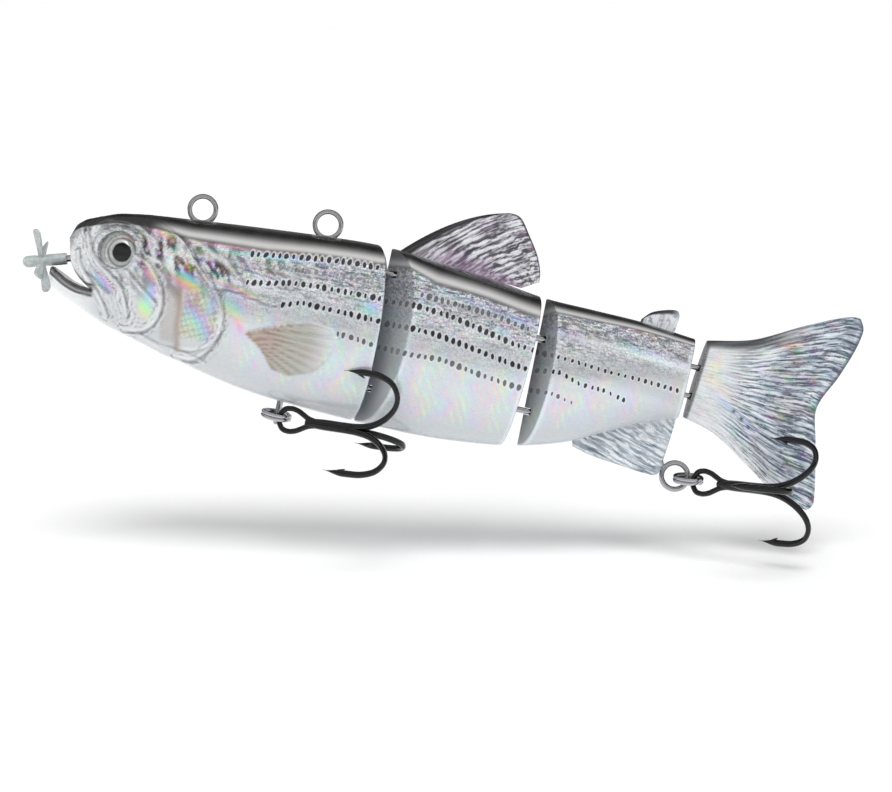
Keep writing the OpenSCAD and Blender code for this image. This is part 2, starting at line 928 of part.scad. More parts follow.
// Treble hook with its eye's centre at the origin and its shank along +X.
module treble(roll) {
  rotate([90, 0, 0])
    rotate_extrude()
      translate([hook_eye_r, 0])
        circle(r = hook_eye_wire_r);
  translate([hook_eye_r, 0, 0])
    rotate([0, 90, 0])
      cylinder(r = shank_r, h = shank_length - hook_eye_r + 0.2);
  for (turn = [0, 120, 240])
    rotate([roll + turn, 0, 0])
      hook_arm();
}

module belly_split_ring() {
  color(steel_colour)
    translate(belly_centre)
      rotate([belly_ring_tilt, 0, 0])
        split_ring();
}

module belly_treble() {
  color(hook_colour)
    translate(belly_hook_at)
      rotate([0, -belly_hook_pitch, -belly_hook_yaw])
        treble(belly_hook_roll);
}

module tail_split_ring() {
  color(steel_colour)
    translate(tail_centre)
      rotate([tail_ring_tilt, 0, -tail_ring_yaw])
        split_ring();
}

module tail_treble() {
  color(hook_colour)
    translate(tail_hook_at)
      rotate([0, -tail_hook_pitch, -tail_hook_yaw])
        treble(tail_hook_roll);
}

head_shell_left();
head_shell_right();
eye_iris_left();
eye_iris_right();
eye_dome_left();
eye_dome_right();
shaft_bush();
shaft_seal();
motor_can();
motor_end_cap();
battery_cell();
circuit_board();
board_chips();
indicator_lamp();
motor_leads();
front_tow_eye();
rear_tow_eye();
belly_hanger();
head_ballast();
front_joint_loops();
propeller_shaft();
shaft_coupling();
motor_rotor();
propeller();
propeller_cap();
front_trunk_left();
front_trunk_right();
front_hinge_pin();
front_trunk_ballast();
middle_joint_loops();
rear_trunk_left();
rear_trunk_right();
middle_hinge_pin();
rear_trunk_ballast();
tail_joint_loops();
tail_hanger();
tail_left();
tail_right();
tail_hinge_pin();
belly_split_ring();
belly_treble();
tail_split_ring();
tail_treble();
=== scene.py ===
"""Looks for a jointed swimbait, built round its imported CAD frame.

Lengths here are in millimetres until MM turns them into metres.
"""
import json
import math

import bmesh
import bpy
import numpy as np
from mathutils import Matrix, Vector, noise
from mathutils.geometry import tessellate_polygon


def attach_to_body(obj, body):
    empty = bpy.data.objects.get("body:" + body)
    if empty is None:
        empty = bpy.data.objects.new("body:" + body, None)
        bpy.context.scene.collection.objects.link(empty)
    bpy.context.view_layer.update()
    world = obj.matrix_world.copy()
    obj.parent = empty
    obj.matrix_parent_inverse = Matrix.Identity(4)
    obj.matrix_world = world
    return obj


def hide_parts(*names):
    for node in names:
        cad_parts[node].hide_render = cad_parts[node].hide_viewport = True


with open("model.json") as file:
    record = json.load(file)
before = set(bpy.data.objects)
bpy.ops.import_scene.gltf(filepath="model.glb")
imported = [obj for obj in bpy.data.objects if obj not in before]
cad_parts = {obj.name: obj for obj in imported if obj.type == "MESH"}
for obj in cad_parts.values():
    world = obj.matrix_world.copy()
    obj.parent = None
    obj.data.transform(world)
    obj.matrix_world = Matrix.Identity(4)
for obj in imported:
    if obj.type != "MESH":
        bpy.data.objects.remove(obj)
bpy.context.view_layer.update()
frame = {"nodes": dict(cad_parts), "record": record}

MM = 0.001

# ---------- the body's design curves, the same as in the CAD source ----------

BACK = [
    (-20.8, -13.5), (-19.9, -12.9), (-19.2, -11), (-18.8, -8.6), (-18, -6.3), (-15.5, -4.7),
    (-10.9, -3.1), (0, -1.75), (10, -0.75), (20, 0.1), (28, 0.5), (36, 0.05), (45, -0.7),
    (54, -1.9), (62, -2.1), (70, -2.3), (78.5, -3.1), (82, -3.2),
]
BELLY = [
    (-20.8, -15.2), (-19.9, -16.6), (-15.5, -18.7), (-10.6, -20.6), (0, -23.3), (11.3, -25.6),
    (22.7, -26.5), (36, -26.8), (44, -26.5), (54, -25.2), (62, -22.9), (67.5, -20.2),
    (73.2, -17.3), (78.5, -15.6), (82, -15.4),
]
WIDTH = [
    (-20.8, 0.11), (-19.9, 0.25), (-18.8, 0.4), (-17, 0.57), (-13, 0.76), (-8, 0.88),
    (0, 0.97), (10, 1), (22, 1), (36, 0.96), (46, 0.89), (56, 0.78), (66, 0.62),
    (78.5, 0.41), (82, 0.36),
]
HALF_WIDTH = 8.7
WIDEST_LEVEL = 0.56
FULLNESS = 0.78
WALL = 1.3
FRONT_PIVOT = 32.5
MIDDLE_PIVOT = 57
TAIL_PIVOT = 81.2
SLOT_HEIGHT = 1.06

# End faces as (x on the centre plane at height 0, change with height, change with width).
NOSE_END = (-20.8, 0, 0)
HEAD_REAR = (27.4, -0.055, 0.33)
FRONT_TRUNK_FRONT = (29.7, 0, 0.66)
FRONT_TRUNK_REAR = (53.4, 0.04, 0.17)
REAR_TRUNK_FRONT = (54.5, -0.02, 0.42)
REAR_TRUNK_REAR = (78.2, 0, 0)

EYE_AT = (-10.6, -6.9, -9.1)
EYE_YAW = 14
EYE_PITCH = 4
EYE_R = 3
EYE_DEPTH = 1.7
SHAFT_ANGLE = 17
NOSE_HOLE = (-17.8, 0, -11.6)


def curve(stations, x):
    """Smooth curve through stations at each x."""
    p = np.asarray(stations, float)
    xs, ys = p[:, 0], p[:, 1]
    n = len(xs)
    low = np.clip(np.arange(n) - 1, 0, n - 1)
    high = np.clip(np.arange(n) + 1, 0, n - 1)
    slope = (ys[high] - ys[low]) / (xs[high] - xs[low])
    x = np.asarray(x, float)
    i = np.clip(np.searchsorted(xs, x, side="right") - 1, 0, n - 2)
    h = xs[i + 1] - xs[i]
    t = np.clip((x - xs[i]) / h, -0.5, 1.5)
    return (
        (2 * t**3 - 3 * t * t + 1) * ys[i]
        + (t**3 - 2 * t * t + t) * slope[i] * h
        + (3 * t * t - 2 * t**3) * ys[i + 1]
        + (t**3 - t * t) * slope[i + 1] * h
    )


def line(stations, x):
    """Straight pieces through stations, level beyond the two ends."""
    p = np.asarray(stations, float)
    return np.interp(x, p[:, 0], p[:, 1])


def back_z(x):
    return curve(BACK, x)


def belly_z(x):
    return curve(BELLY, x)


def half_width(x):
    return HALF_WIDTH * curve(WIDTH, x)


def skin_y(x, a, inset):
    return -(half_width(x) - inset) * np.maximum(np.cos(a), 0) ** FULLNESS


def skin_z(x, a, inset):
    top = back_z(x) - inset
    bottom = belly_z(x) + inset
    middle = bottom + (top - bottom) * WIDEST_LEVEL
    return middle + np.sin(a) * np.where(a >= 0, top - middle, middle - bottom)


def end_x(face, y, z):
    return face[0] + face[1] * z - face[2] * y


def skin_points(front, rear, u, a, inset):
    """Points on the skin a share u of the way between two end faces."""
    y, z = np.zeros_like(u), np.full_like(u, -12.0)
    for _ in range(12):
        x = end_x(front, y, z) * (1 - u) + end_x(rear, y, z) * u
        y, z = skin_y(x, a, inset), skin_z(x, a, inset)
    x = end_x(front, y, z) * (1 - u) + end_x(rear, y, z) * u
    return np.stack([x, y, z], -1)


# ---------- small tools for shapes ----------


def smooth(t):
    t = np.clip(t, 0, 1)
    return t * t * (3 - 2 * t)


def between(low, high, v):
    """0 below low and 1 above high, smooth in between."""
    return smooth((v - low) / (high - low))


def bell(d, width):
    return np.exp(-((d / width) ** 2))


def polyline_distance(points, x, z):
    """Distance from each (x, z) to a polyline, signed: positive on its right-hand side."""
    best = np.full(np.shape(x), 1e9)
    signed = np.full(np.shape(x), 1e9)
    for (ax, az), (bx, bz) in zip(points, points[1:]):
        dx, dz = bx - ax, bz - az
        t = np.clip(((x - ax) * dx + (z - az) * dz) / (dx * dx + dz * dz), 0, 1)
        px, pz = x - ax - t * dx, z - az - t * dz
        d = np.hypot(px, pz)
        side = np.where(dx * pz - dz * px > 0, -1.0, 1.0)
        signed = np.where(d < best, side * d, signed)
        best = np.minimum(best, d)
    return best, signed


def inside(points, x, z):
    """True where (x, z) lies in a closed outline."""
    hit = np.zeros(np.shape(x), bool)
    for (ax, az), (bx, bz) in zip(points, points[1:] + points[:1]):
        if az == bz:
            continue
        crosses = (az > z) != (bz > z)
        hit ^= crosses & (x < (bx - ax) * (z - az) / (bz - az) + ax)
    return hit


def rounded(points, steps=8):
    """Catmull-Rom curve through points of any dimension."""
    p = np.asarray(points, float)
    p = np.concatenate([[2 * p[0] - p[1]], p, [2 * p[-1] - p[-2]]])
    out = []
    for p0, p1, p2, p3 in zip(p, p[1:], p[2:], p[3:]):
        for k in range(steps):
            t = k / steps
            out.append(
                0.5 * (2 * p1 + (p2 - p0) * t + (2 * p0 - 5 * p1 + 4 * p2 - p3) * t * t
                       + (3 * p1 - p0 - 3 * p2 + p3) * t**3)
            )
    out.append(p[-2])
    return np.array(out)


def eased(points):
    """The same line with its corners rounded."""
    return [tuple(p) for p in rounded(points, 4)]


def cloud(x, y, z, scale, seed=0.0, octaves=3):
    """Smooth noise from about -1 to 1 at each point, with features of that size in mm."""
    flat = np.stack([np.ravel(x) / scale + seed, np.ravel(y) / scale, np.ravel(z) / scale], -1)
    values = [noise.fractal(Vector(p), 1.0, 2.0, octaves) for p in flat]
    return np.array(values).reshape(np.shape(x))


def rainbow(hue):
    """A foil colour for each hue, which wraps at 1."""
    phase = np.array([0.0, 0.33, 0.67])
    return 0.5 + 0.5 * np.cos(2 * math.pi * (np.asarray(hue)[..., None] - phase))


def over(colour, other, amount):
    """A colour, or one for each point, with that much of another laid over it."""
    amount = np.clip(amount, 0, 1)[..., None]
    return np.asarray(colour, float) * (1 - amount) + np.asarray(other, float) * amount


def tilted(x, z, px, pz, length, height, tilt):
    """Places as seen from a tilted spot, in its half lengths along and half heights across."""
    c, s = math.cos(math.radians(tilt)), math.sin(math.radians(tilt))
    return ((x - px) * c + (z - pz) * s) / length, (-(x - px) * s + (z - pz) * c) / height


def spot(*where):
    """1 in the middle of a soft spot, placed as for tilted, and 0 far from it."""
    u, v = tilted(*where)
    return np.exp(-u * u - v * v)


# ---------- small tools for meshes ----------


def grid_faces(rows, columns, base=0, flip=False, wrap=False):
    faces = []
    for i in range(rows - 1):
        for j in range(columns if wrap else columns - 1):
            k = (j + 1) % columns
            a, b = base + i * columns + j, base + i * columns + k
            c, d = a + columns, b + columns
            faces.append((a, c, d, b) if flip else (a, b, d, c))
    return faces


def mesh_work(obj, *steps):
    """Runs bmesh steps on an object's mesh."""
    work = bmesh.new()
    work.from_mesh(obj.data)
    for step in steps:
        step(work)
    work.to_mesh(obj.data)
    work.free()


def weld(work):
    bmesh.ops.remove_doubles(work, verts=work.verts, dist=2e-7)


def drop_slivers(work):
    bmesh.ops.dissolve_degenerate(work, edges=work.edges, dist=1e-8)


def turn_outwards(work):
    bmesh.ops.recalc_face_normals(work, faces=work.faces)


def new_object(name, points, faces, materials, smooth_angle=40, indices=None,
               steps=(weld, drop_slivers, turn_outwards)):
    """A mesh object from points in mm, cleaned by those steps."""
    mesh = bpy.data.meshes.new(name)
    mesh.from_pydata([tuple(p) for p in np.asarray(points, float) * MM], [], faces)
    if indices is not None:
        mesh.polygons.foreach_set("material_index", indices)
    obj = bpy.data.objects.new(name, mesh)
    mesh_work(obj, *steps)
    for material in materials:
        mesh.materials.append(material)
    bpy.context.scene.collection.objects.link(obj)
    shade(obj, smooth_angle)
    return obj


def shade(obj, angle):
    mesh = obj.data
    mesh.polygons.foreach_set("use_smooth", [True] * len(mesh.polygons))
    mesh.set_sharp_from_angle(angle=math.radians(angle))


def cut(obj, cutter):
    """Takes the cutter's solid out of obj, and removes the cutter."""
    modifier = obj.modifiers.new("cut", "BOOLEAN")
    modifier.operation = "DIFFERENCE"
    modifier.solver = "EXACT"
    modifier.object = cutter
    bpy.context.view_layer.update()
    evaluated = obj.evaluated_get(bpy.context.evaluated_depsgraph_get())
    mesh = bpy.data.meshes.new_from_object(evaluated)
    obj.modifiers.clear()
    old = obj.data
    obj.data = mesh
    bpy.data.meshes.remove(old)
    bpy.data.objects.remove(cutter)


def attach(piece, body, nodes):
    """Rides a piece on its body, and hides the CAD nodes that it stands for."""
    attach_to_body(piece, body)
    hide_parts(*nodes)


def mirrored_copy(obj, name):
    """The right-hand twin of a left-hand piece."""
    twin = obj.copy()
    twin.data = obj.data.copy()
    twin.name = twin.data.name = name
    twin.data.transform(Matrix.Scale(-1, 4, (0, 1, 0)))
    twin.data.flip_normals()
    bpy.context.scene.collection.objects.link(twin)
    return twin


def vectors_of(obj, kind):
    """The mesh's "co" in metres, or its "normal", for each point."""
    flat = np.empty(len(obj.data.vertices) * 3)
    obj.data.vertices.foreach_get(kind, flat)
    return flat.reshape(-1, 3)


def set_print(obj, colour, **values):
    """Gives each point its painted colour and its named values."""
    attribute = obj.data.attributes.new("paint", "FLOAT_COLOR", "POINT")
    rgba = np.ones((len(colour), 4), np.float32)
    rgba[:, :3] = np.clip(colour, 0, 1)
    attribute.data.foreach_set("color", rgba.ravel())
    for name, value in values.items():
        attribute = obj.data.attributes.new(name, "FLOAT", "POINT")
        attribute.data.foreach_set("value", np.asarray(value, np.float32))


def lathe(name, profile, materials, place, around=48, smooth_angle=40):
    """Turns an (r, height) profile round +Z, closed where r is 0, and puts it in place."""
    points = []
    for r, h in profile:
        for k in range(around):
            turn = 2 * math.pi * k / around
            points.append((r * math.cos(turn), r * math.sin(turn), h))
    faces = grid_faces(len(profile), around, wrap=True)
    obj = new_object(name, points, faces, materials, smooth_angle)
    obj.data.transform(place)
    if place.to_3x3().determinant() < 0:
        obj.data.flip_normals()
    return obj


def capped_tube(rows, around):
    """Faces of a grid that wraps round, closed by a flat cap at each end."""
    faces = grid_faces(rows, around, wrap=True)
    faces.append(tuple(range(around - 1, -1, -1)))
    faces.append(tuple((rows - 1) * around + k for k in range(around)))
    return faces


def tube_mesh(path, radii, sides, up, squash=1.0):
    """Points and faces of a tube along a path in mm, with a radius and squash for each point."""
    path = np.asarray(path, float)
    count = len(path)
    tangents = np.gradient(path, axis=0)
    tangents /= np.linalg.norm(tangents, axis=1)[:, None]
    side = np.asarray(up, float)
    points = []
    for at, tangent, radius, flat in zip(
        path, tangents, np.broadcast_to(radii, count), np.broadcast_to(squash, count)
    ):
        side = side - tangent * np.dot(side, tangent)
        side /= np.linalg.norm(side)
        other = np.cross(tangent, side)
        for k in range(sides):
            turn = 2 * math.pi * k / sides
            points.append(at + radius * (math.cos(turn) * side + math.sin(turn) * flat * other))
    return points, capped_tube(count, sides)


def join_meshes(parts):
    points, faces = [], []
    for more_points, more_faces in parts:
        base = len(points)
        points.extend(more_points)
        faces.extend(tuple(base + i for i in face) for face in more_faces)
    return points, faces


def turn_matrix(at, x=0, y=0, z=0):
    """The CAD's translate(at) rotate([x, y, z]), with at in mm."""
    return (
        Matrix.Translation(Vector(at) * MM)
        @ Matrix.Rotation(math.radians(z), 4, "Z")
        @ Matrix.Rotation(math.radians(y), 4, "Y")
        @ Matrix.Rotation(math.radians(x), 4, "X")
    )


def along_axis(distance):
    return Matrix.Translation((0, 0, distance * MM))


MIRROR = Matrix.Scale(-1, 4, (0, 1, 0))
EYE_PLACE = turn_matrix(EYE_AT, x=90 - EYE_PITCH, z=-EYE_YAW)
SHAFT_PLACE = turn_matrix(NOSE_HOLE, y=90 - SHAFT_ANGLE)


# ---------- materials ----------


class Nodes:
    """Builds a node tree for a material or a world, a line for each node."""

    def __init__(self, owner):
        owner.use_nodes = True
        self.owner = owner
        self.tree = owner.node_tree

    def put(self, socket, value):
        if isinstance(value, bpy.types.NodeSocket):
            self.tree.links.new(value, socket)
        elif isinstance(value, tuple) and len(value) == 3 and socket.type == "RGBA":
            socket.default_value = (*value, 1)
        else:
            socket.default_value = value

    def node(self, kind, inputs=(), **settings):
        made = self.tree.nodes.new(kind)
        for key, value in settings.items():
            setattr(made, key, value)
        for key, value in dict(inputs).items():
            self.put(made.inputs[key], value)
        return made

    def math(self, operation, a, b=0.0, c=0.0, clamp=False):
        inputs = {0: a, 1: b, 2: c}
        return self.node("ShaderNodeMath", inputs, operation=operation, use_clamp=clamp).outputs[0]

    def add(self, a, b):
        return self.math("ADD", a, b)

    def times(self, a, b, clamp=False):
        return self.math("MULTIPLY", a, b, clamp=clamp)

    def place(self):
        """The point on the object, in millimetres."""
        return self.stretched(self.node("ShaderNodeTexCoord").outputs["Object"], (1 / MM,) * 3)

    def stretched(self, vector, scale):
        inputs = {0: vector, 1: scale}
        return self.node("ShaderNodeVectorMath", inputs, operation="MULTIPLY").outputs[0]

    def attribute(self, name, output="Fac"):
        return self.node("ShaderNodeAttribute", attribute_name=name).outputs[output]

    def noise(self, vector, scale, detail=2.0, rough=0.5, distortion=0.0):
        """Noise with that many features in a mm, or a different number along X, Y and Z."""
        if isinstance(scale, tuple):
            vector, scale = self.stretched(vector, scale), 1.0
        inputs = {
            "Vector": vector, "Scale": scale, "Detail": detail,
            "Roughness": rough, "Distortion": distortion,
        }
        return self.node("ShaderNodeTexNoise", inputs).outputs[0]

    def cells(self, vector, scale, feature="F1"):
        inputs = {"Vector": self.stretched(vector, scale), "Scale": 1.0}
        return self.node("ShaderNodeTexVoronoi", inputs, feature=feature).outputs

    def span(self, value, low, high, to_low=0.0, to_high=1.0):
        inputs = {"Value": value, "From Min": low, "From Max": high, "To Min": to_low, "To Max": to_high}
        return self.node("ShaderNodeMapRange", inputs, interpolation_type="SMOOTHSTEP").outputs[0]

    def mix(self, amount, a, b):
        """Colour a with that much of colour b."""
        made = self.node("ShaderNodeMix", data_type="RGBA")
        self.put(made.inputs[0], amount)
        self.put(made.inputs[6], a)
        self.put(made.inputs[7], b)
        return made.outputs[2]

    def bump(self, height, strength, distance):
        inputs = {"Height": height, "Strength": strength, "Distance": distance * MM}
        return self.node("ShaderNodeBump", inputs).outputs[0]

    def finish(self, **values):
        """Sets the material's own shader, such as coat_weight for its Coat Weight."""
        shader = self.tree.nodes["Principled BSDF"]
        for key, value in values.items():
            self.put(shader.inputs[key.replace("_", " ").title().replace("Ior", "IOR")], value)
        return self.owner


def new_material(name):
    return Nodes(bpy.data.materials.new(name))


def foil_skin(name, face=False):
    """Printed foil under a clear coat: painted colour, silver grain, scales and dark dots.

    The face form is the same print darkened with painted shade, and with less gloss, on the flat ends at the
    joints.
    """
    n = new_material(name)
    at = n.place()
    paint = n.attribute("paint", "Color")
    grain = n.attribute("grain")
    near = n.attribute("row_near")
    row = n.attribute("row_id")
    dotted = n.attribute("dotted")
    foil = n.attribute("foil")

    # Silver grain: long strokes of light and dark along the body, broken by fine specks.
    fine = n.noise(at, (3.4, 3.4, 2.8), 2.0, 0.65)
    strokes = n.noise(at, (0.75, 1.0, 2.6), 3.0, 0.62, 0.4)
    wide = n.noise(at, (0.35, 0.8, 0.9), 2.0, 0.6)
    drift = n.math("MULTIPLY_ADD", fine, 0.45, n.times(strokes, 0.75))
    dark = n.times(n.span(drift, 0.625, 0.71), n.span(wide, 0.3, 0.6, 0.5, 1.0))
    dark = n.times(dark, grain, clamp=True)
    light = n.times(n.span(drift, 0.615, 0.5), grain, clamp=True)
    colour = n.mix(n.times(dark, 0.95), paint, (0.035, 0.032, 0.045))
    colour = n.mix(n.times(light, 0.85), colour, (0.95, 0.97, 1.0))
    # Each fleck of the foil turns its own faint colour.
    fleck = n.cells(at, (2.2, 2.2, 1.5))["Color"]
    tinted = n.mix(0.5, fleck, (0.7, 0.75, 0.8))
    colour = n.mix(n.times(grain, 0.16), colour, tinted)

    # Scales: a fine net, in the surface and faintly in the foil's tone.
    scale_cells = n.cells(at, (1.7, 1.7, 1.5), "DISTANCE_TO_EDGE")[0]
    net = n.times(n.span(scale_cells, 0.1, 0.02), n.span(grain, 0.05, 0.3))
    colour = n.mix(n.times(net, 0.35), colour, (0.2, 0.22, 0.26))

    # Rows of dots, each a small upright lozenge of its own size.
    x = n.node("ShaderNodeSeparateXYZ", {0: at}).outputs[0]
    wobble = n.noise(at, (0.6, 0, 0.4), 1.0)
    along = n.add(n.times(x, 1 / 1.05), n.times(row, 0.37))
    along = n.add(along, n.times(wobble, 0.9))
    number = n.math("FLOOR", along)
    across = n.times(n.math("SUBTRACT", n.math("FRACT", along), 0.5), 1.05)
    seed = n.node("ShaderNodeCombineXYZ", {0: number, 1: row, 2: 0.0}).outputs[0]
    own = n.node("ShaderNodeTexWhiteNoise", {"Vector": seed}, noise_dimensions="3D").outputs[0]
    size = n.times(n.span(own, 0.0, 1.0, 0.8, 1.15), n.span(x, 54.0, 60.0, 1.0, 0.72))
    reach = n.add(n.math("POWER", n.math("DIVIDE", across, 0.31), 2.0),
                   n.math("POWER", n.math("DIVIDE", near, 0.48), 2.0))
    reach = n.math("DIVIDE", reach, n.times(size, size))
    dot = n.times(n.span(reach, 1.25, 0.7), dotted, clamp=True)
    # Bare foil shows pale round each dot.
    pale = n.times(n.span(reach, 3.4, 1.6), dotted, clamp=True)
    colour = n.mix(n.times(pale, 0.45), colour, (0.85, 0.88, 0.92))
    # Painted shade: on the flat ends the print is darkened towards grey.
    if face:
        colour = n.mix(0.45, colour, (0.21, 0.225, 0.24))
    colour = n.mix(n.times(dot, 0.6 if face else 1.0), colour, (0.008, 0.006, 0.008))

    height = n.add(n.span(scale_cells, 0.0, 0.16), n.times(fine, 0.6))
    normal = n.bump(n.times(height, grain), 0.35 if face else 0.55, 0.05)
    dull = n.times(dark, 0.18)
    if face:
        return n.finish(
            base_color=colour, metallic=n.times(foil, 0.3), normal=normal,
            roughness=n.add(n.span(fine, 0.3, 0.7, 0.38, 0.5), dull),
            coat_weight=0.15, coat_roughness=0.3,
        )
    return n.finish(
        base_color=colour, metallic=n.math("SUBTRACT", foil, n.times(dot, foil)),
        roughness=n.add(n.span(wide, 0.3, 0.7, 0.2, 0.32), dull), normal=normal,
        coat_weight=0.8, coat_roughness=0.04, specular_ior_level=0.35,
    )


def plain(name, colour, rough=0.4, metallic=0.0, size=1.0, vary=0.08, bump=0.02, **more):
    """Plastic, rubber or metal with mottled tone, uneven roughness and a fine surface."""
    n = new_material(name)
    at = n.place()
    broad = n.noise(at, 0.5 / size, 3.0, 0.6)
    fine = n.noise(at, 6.0 / size, 3.0, 0.6)
    low = tuple(c * (1 - vary) for c in colour)
    high = tuple(min(1, c * (1 + vary) + 0.01) for c in colour)
    tone = n.mix(n.span(broad, 0.3, 0.7), low, high)
    normal = n.bump(fine, 0.5, bump)
    return n.finish(
        base_color=tone, metallic=metallic, normal=normal,
        roughness=n.span(fine, 0.25, 0.75, rough * 0.8, min(1, rough * 1.25)), **more,
    )


def drawn_wire(name, colour, rough, metallic=1.0, wear=(0.5, 0.5, 0.52)):
    """Plated wire: bright, with faint drawing marks and a few rubbed spots."""
    n = new_material(name)
    at = n.place()
    marks = n.noise(at, (2.0, 14.0, 14.0), 2.0, 0.7)
    patches = n.noise(at, 1.3, 3.0, 0.65)
    worn = n.span(patches, 0.62, 0.72)
    tone = n.mix(n.times(worn, 0.5), colour, wear)
    tone = n.mix(n.span(marks, 0.3, 0.7, 0.0, 0.12), tone, (0.0, 0.0, 0.0))
    return n.finish(
        base_color=tone, metallic=metallic, normal=n.bump(marks, 0.25, 0.01),
        roughness=n.add(n.span(marks, 0.3, 0.7, rough * 0.7, rough * 1.4),
                         n.times(worn, 0.12)),
    )


def hook_nickel():
    """Black nickel: gloss black over metal, with brazing grain along the shank."""
    n = new_material("hook_nickel")
    at = n.place()
    grain = n.noise(at, 3.2, 4.0, 0.7)
    specks = n.noise(at, 9.0, 2.0, 0.6)
    tone = n.mix(n.span(grain, 0.35, 0.7), (0.001, 0.001, 0.0015), (0.006, 0.0055, 0.006))
    return n.finish(
        base_color=tone, metallic=0.2, normal=n.bump(specks, 0.3, 0.02),
        roughness=n.span(grain, 0.3, 0.75, 0.08, 0.2), coat_weight=0.35, coat_roughness=0.03,
        specular_ior_level=0.3,
    )


def clear_plastic():
    """Milky grey-green plastic of the propeller."""
    n = new_material("clear_plastic")
    at = n.place()
    haze = n.noise(at, 1.1, 3.0, 0.6)
    tone = n.mix(n.span(haze, 0.3, 0.7), (0.52, 0.58, 0.57), (0.72, 0.77, 0.76))
    return n.finish(
        base_color=tone, roughness=n.span(haze, 0.3, 0.7, 0.14, 0.26),
        normal=n.bump(haze, 0.3, 0.03), transmission_weight=0.35, ior=1.49,
        coat_weight=0.4, coat_roughness=0.08,
    )


def painted(name, rough, metallic, coat, bump_scale=4.0, bump=0.03, gloss=0.5):
    """Gloss over the piece's own painted colour, with a fine grain."""
    n = new_material(name)
    at = n.place()
    paint = n.attribute("paint", "Color")
    grain = n.attribute("grain")
    fine = n.noise(at, bump_scale, 3.0, 0.65)
    wide = n.noise(at, 0.8, 2.0, 0.6)
    colour = n.mix(n.times(n.span(fine, 0.5, 0.68), grain, clamp=True), paint, (0.08, 0.09, 0.13))
    colour = n.mix(n.times(n.span(fine, 0.46, 0.3), grain, clamp=True), colour, (0.9, 0.93, 0.97))
    return n.finish(
        base_color=colour, metallic=metallic, normal=n.bump(fine, 0.5, bump),
        roughness=n.span(wide, 0.3, 0.7, rough * 0.8, rough * 1.3),
        coat_weight=coat, coat_roughness=0.05, specular_ior_level=gloss,
    )


def fin_skin():
    """Foil fins: painted colour with thin broken streaks that follow the rays."""
    n = new_material("tail_skin")
    at = n.place()
    paint = n.attribute("paint", "Color")
    grain = n.attribute("grain")
    ray = n.attribute("ray")
    reach = n.attribute("reach")
    flow = {0: n.times(reach, 0.26), 1: n.times(ray, 3.0)}
    along = n.node("ShaderNodeCombineXYZ", flow).outputs[0]
    streaks = n.noise(along, 1.0, 3.0, 0.68, 0.3)
    fine = n.noise(at, 4.0, 2.0, 0.6)
    drift = n.math("MULTIPLY_ADD", fine, 0.25, n.times(streaks, 0.8))
    colour = n.mix(n.times(n.span(drift, 0.53, 0.62), grain, clamp=True), paint, (0.03, 0.045, 0.075))
    colour = n.mix(n.times(n.span(drift, 0.5, 0.4, 0.0, 0.8), grain, clamp=True), colour, (0.86, 0.9, 0.94))
    return n.finish(
        base_color=colour, metallic=0.2, normal=n.bump(drift, 0.6, 0.08),
        roughness=n.span(fine, 0.3, 0.7, 0.22, 0.34), coat_weight=0.8, coat_roughness=0.06,
    )


def dome_glass():
    n = new_material("eye_dome")
    haze = n.noise(n.place(), 1.5, 2.0)
    return n.finish(
        base_color=n.mix(n.span(haze, 0.3, 0.7), (0.97, 0.98, 0.98), (1.0, 1.0, 1.0)),
        roughness=n.span(haze, 0.3, 0.7, 0.0, 0.02), transmission_weight=1.0, ior=1.3,
    )


SKIN = foil_skin("lure_skin")
SHADED_END_SKIN = foil_skin("lure_skin_face_painted_shade", face=True)
FIN_SKIN = fin_skin()
IRIS = painted("iris", 0.3, 0.3, 0.0, bump=0.01, gloss=0.1)
DOME = dome_glass()
BRIGHT = drawn_wire("bright_wire", (0.45, 0.45, 0.47), 0.08)
RING = drawn_wire("bright_ring", (0.55, 0.55, 0.57), 0.08)
STEEL = drawn_wire("shaft_steel", (0.55, 0.56, 0.58), 0.25)
HOOK = hook_nickel()
CLEAR = clear_plastic()
HOLLOW = plain("hollow_dark", (0.05, 0.053, 0.058), rough=0.45)
MOUTH = plain("mouth_lining", (0.1, 0.1, 0.11), rough=0.3, coat_weight=0.6, coat_roughness=0.1)
BLACK = plain("black_plastic", (0.035, 0.035, 0.038), rough=0.35, size=0.5)

CARRIED = {
    "bright_wire": BRIGHT,
    "bright_ring": RING,
    "shaft_steel": STEEL,
    "hook_nickel": HOOK,
    "clear_plastic": CLEAR,
    "eye_dome": DOME,
    "iris": IRIS,
    "lure_skin": SKIN,
    "tail_skin": FIN_SKIN,
    "black_plastic": BLACK,
    "black_rubber": plain("black_rubber", (0.025, 0.025, 0.026), rough=0.7, size=0.6),
    "motor_steel": drawn_wire("motor_steel", (0.55, 0.55, 0.57), 0.3),
    "ivory_plastic": plain("ivory_plastic", (0.78, 0.74, 0.64), rough=0.45),
    "cell_sleeve": plain("cell_sleeve", (0.06, 0.2, 0.45), rough=0.3, coat_weight=0.5),
    "board_green": plain("board_green", (0.015, 0.16, 0.06), rough=0.3, vary=0.2, coat_weight=0.6),
    "lamp_red": plain("lamp_red", (0.75, 0.05, 0.04), rough=0.1, transmission_weight=0.4),
    "lead_red": plain("lead_red", (0.5, 0.03, 0.03), rough=0.45),
    "ballast_iron": plain("ballast_iron", (0.28, 0.29, 0.31), rough=0.5, metallic=0.9, vary=0.2, bump=0.05),
    "rotor_copper": plain("rotor_copper", (0.62, 0.3, 0.14), rough=0.3, metallic=0.9, vary=0.2),
}

# ---------- the print on the body ----------

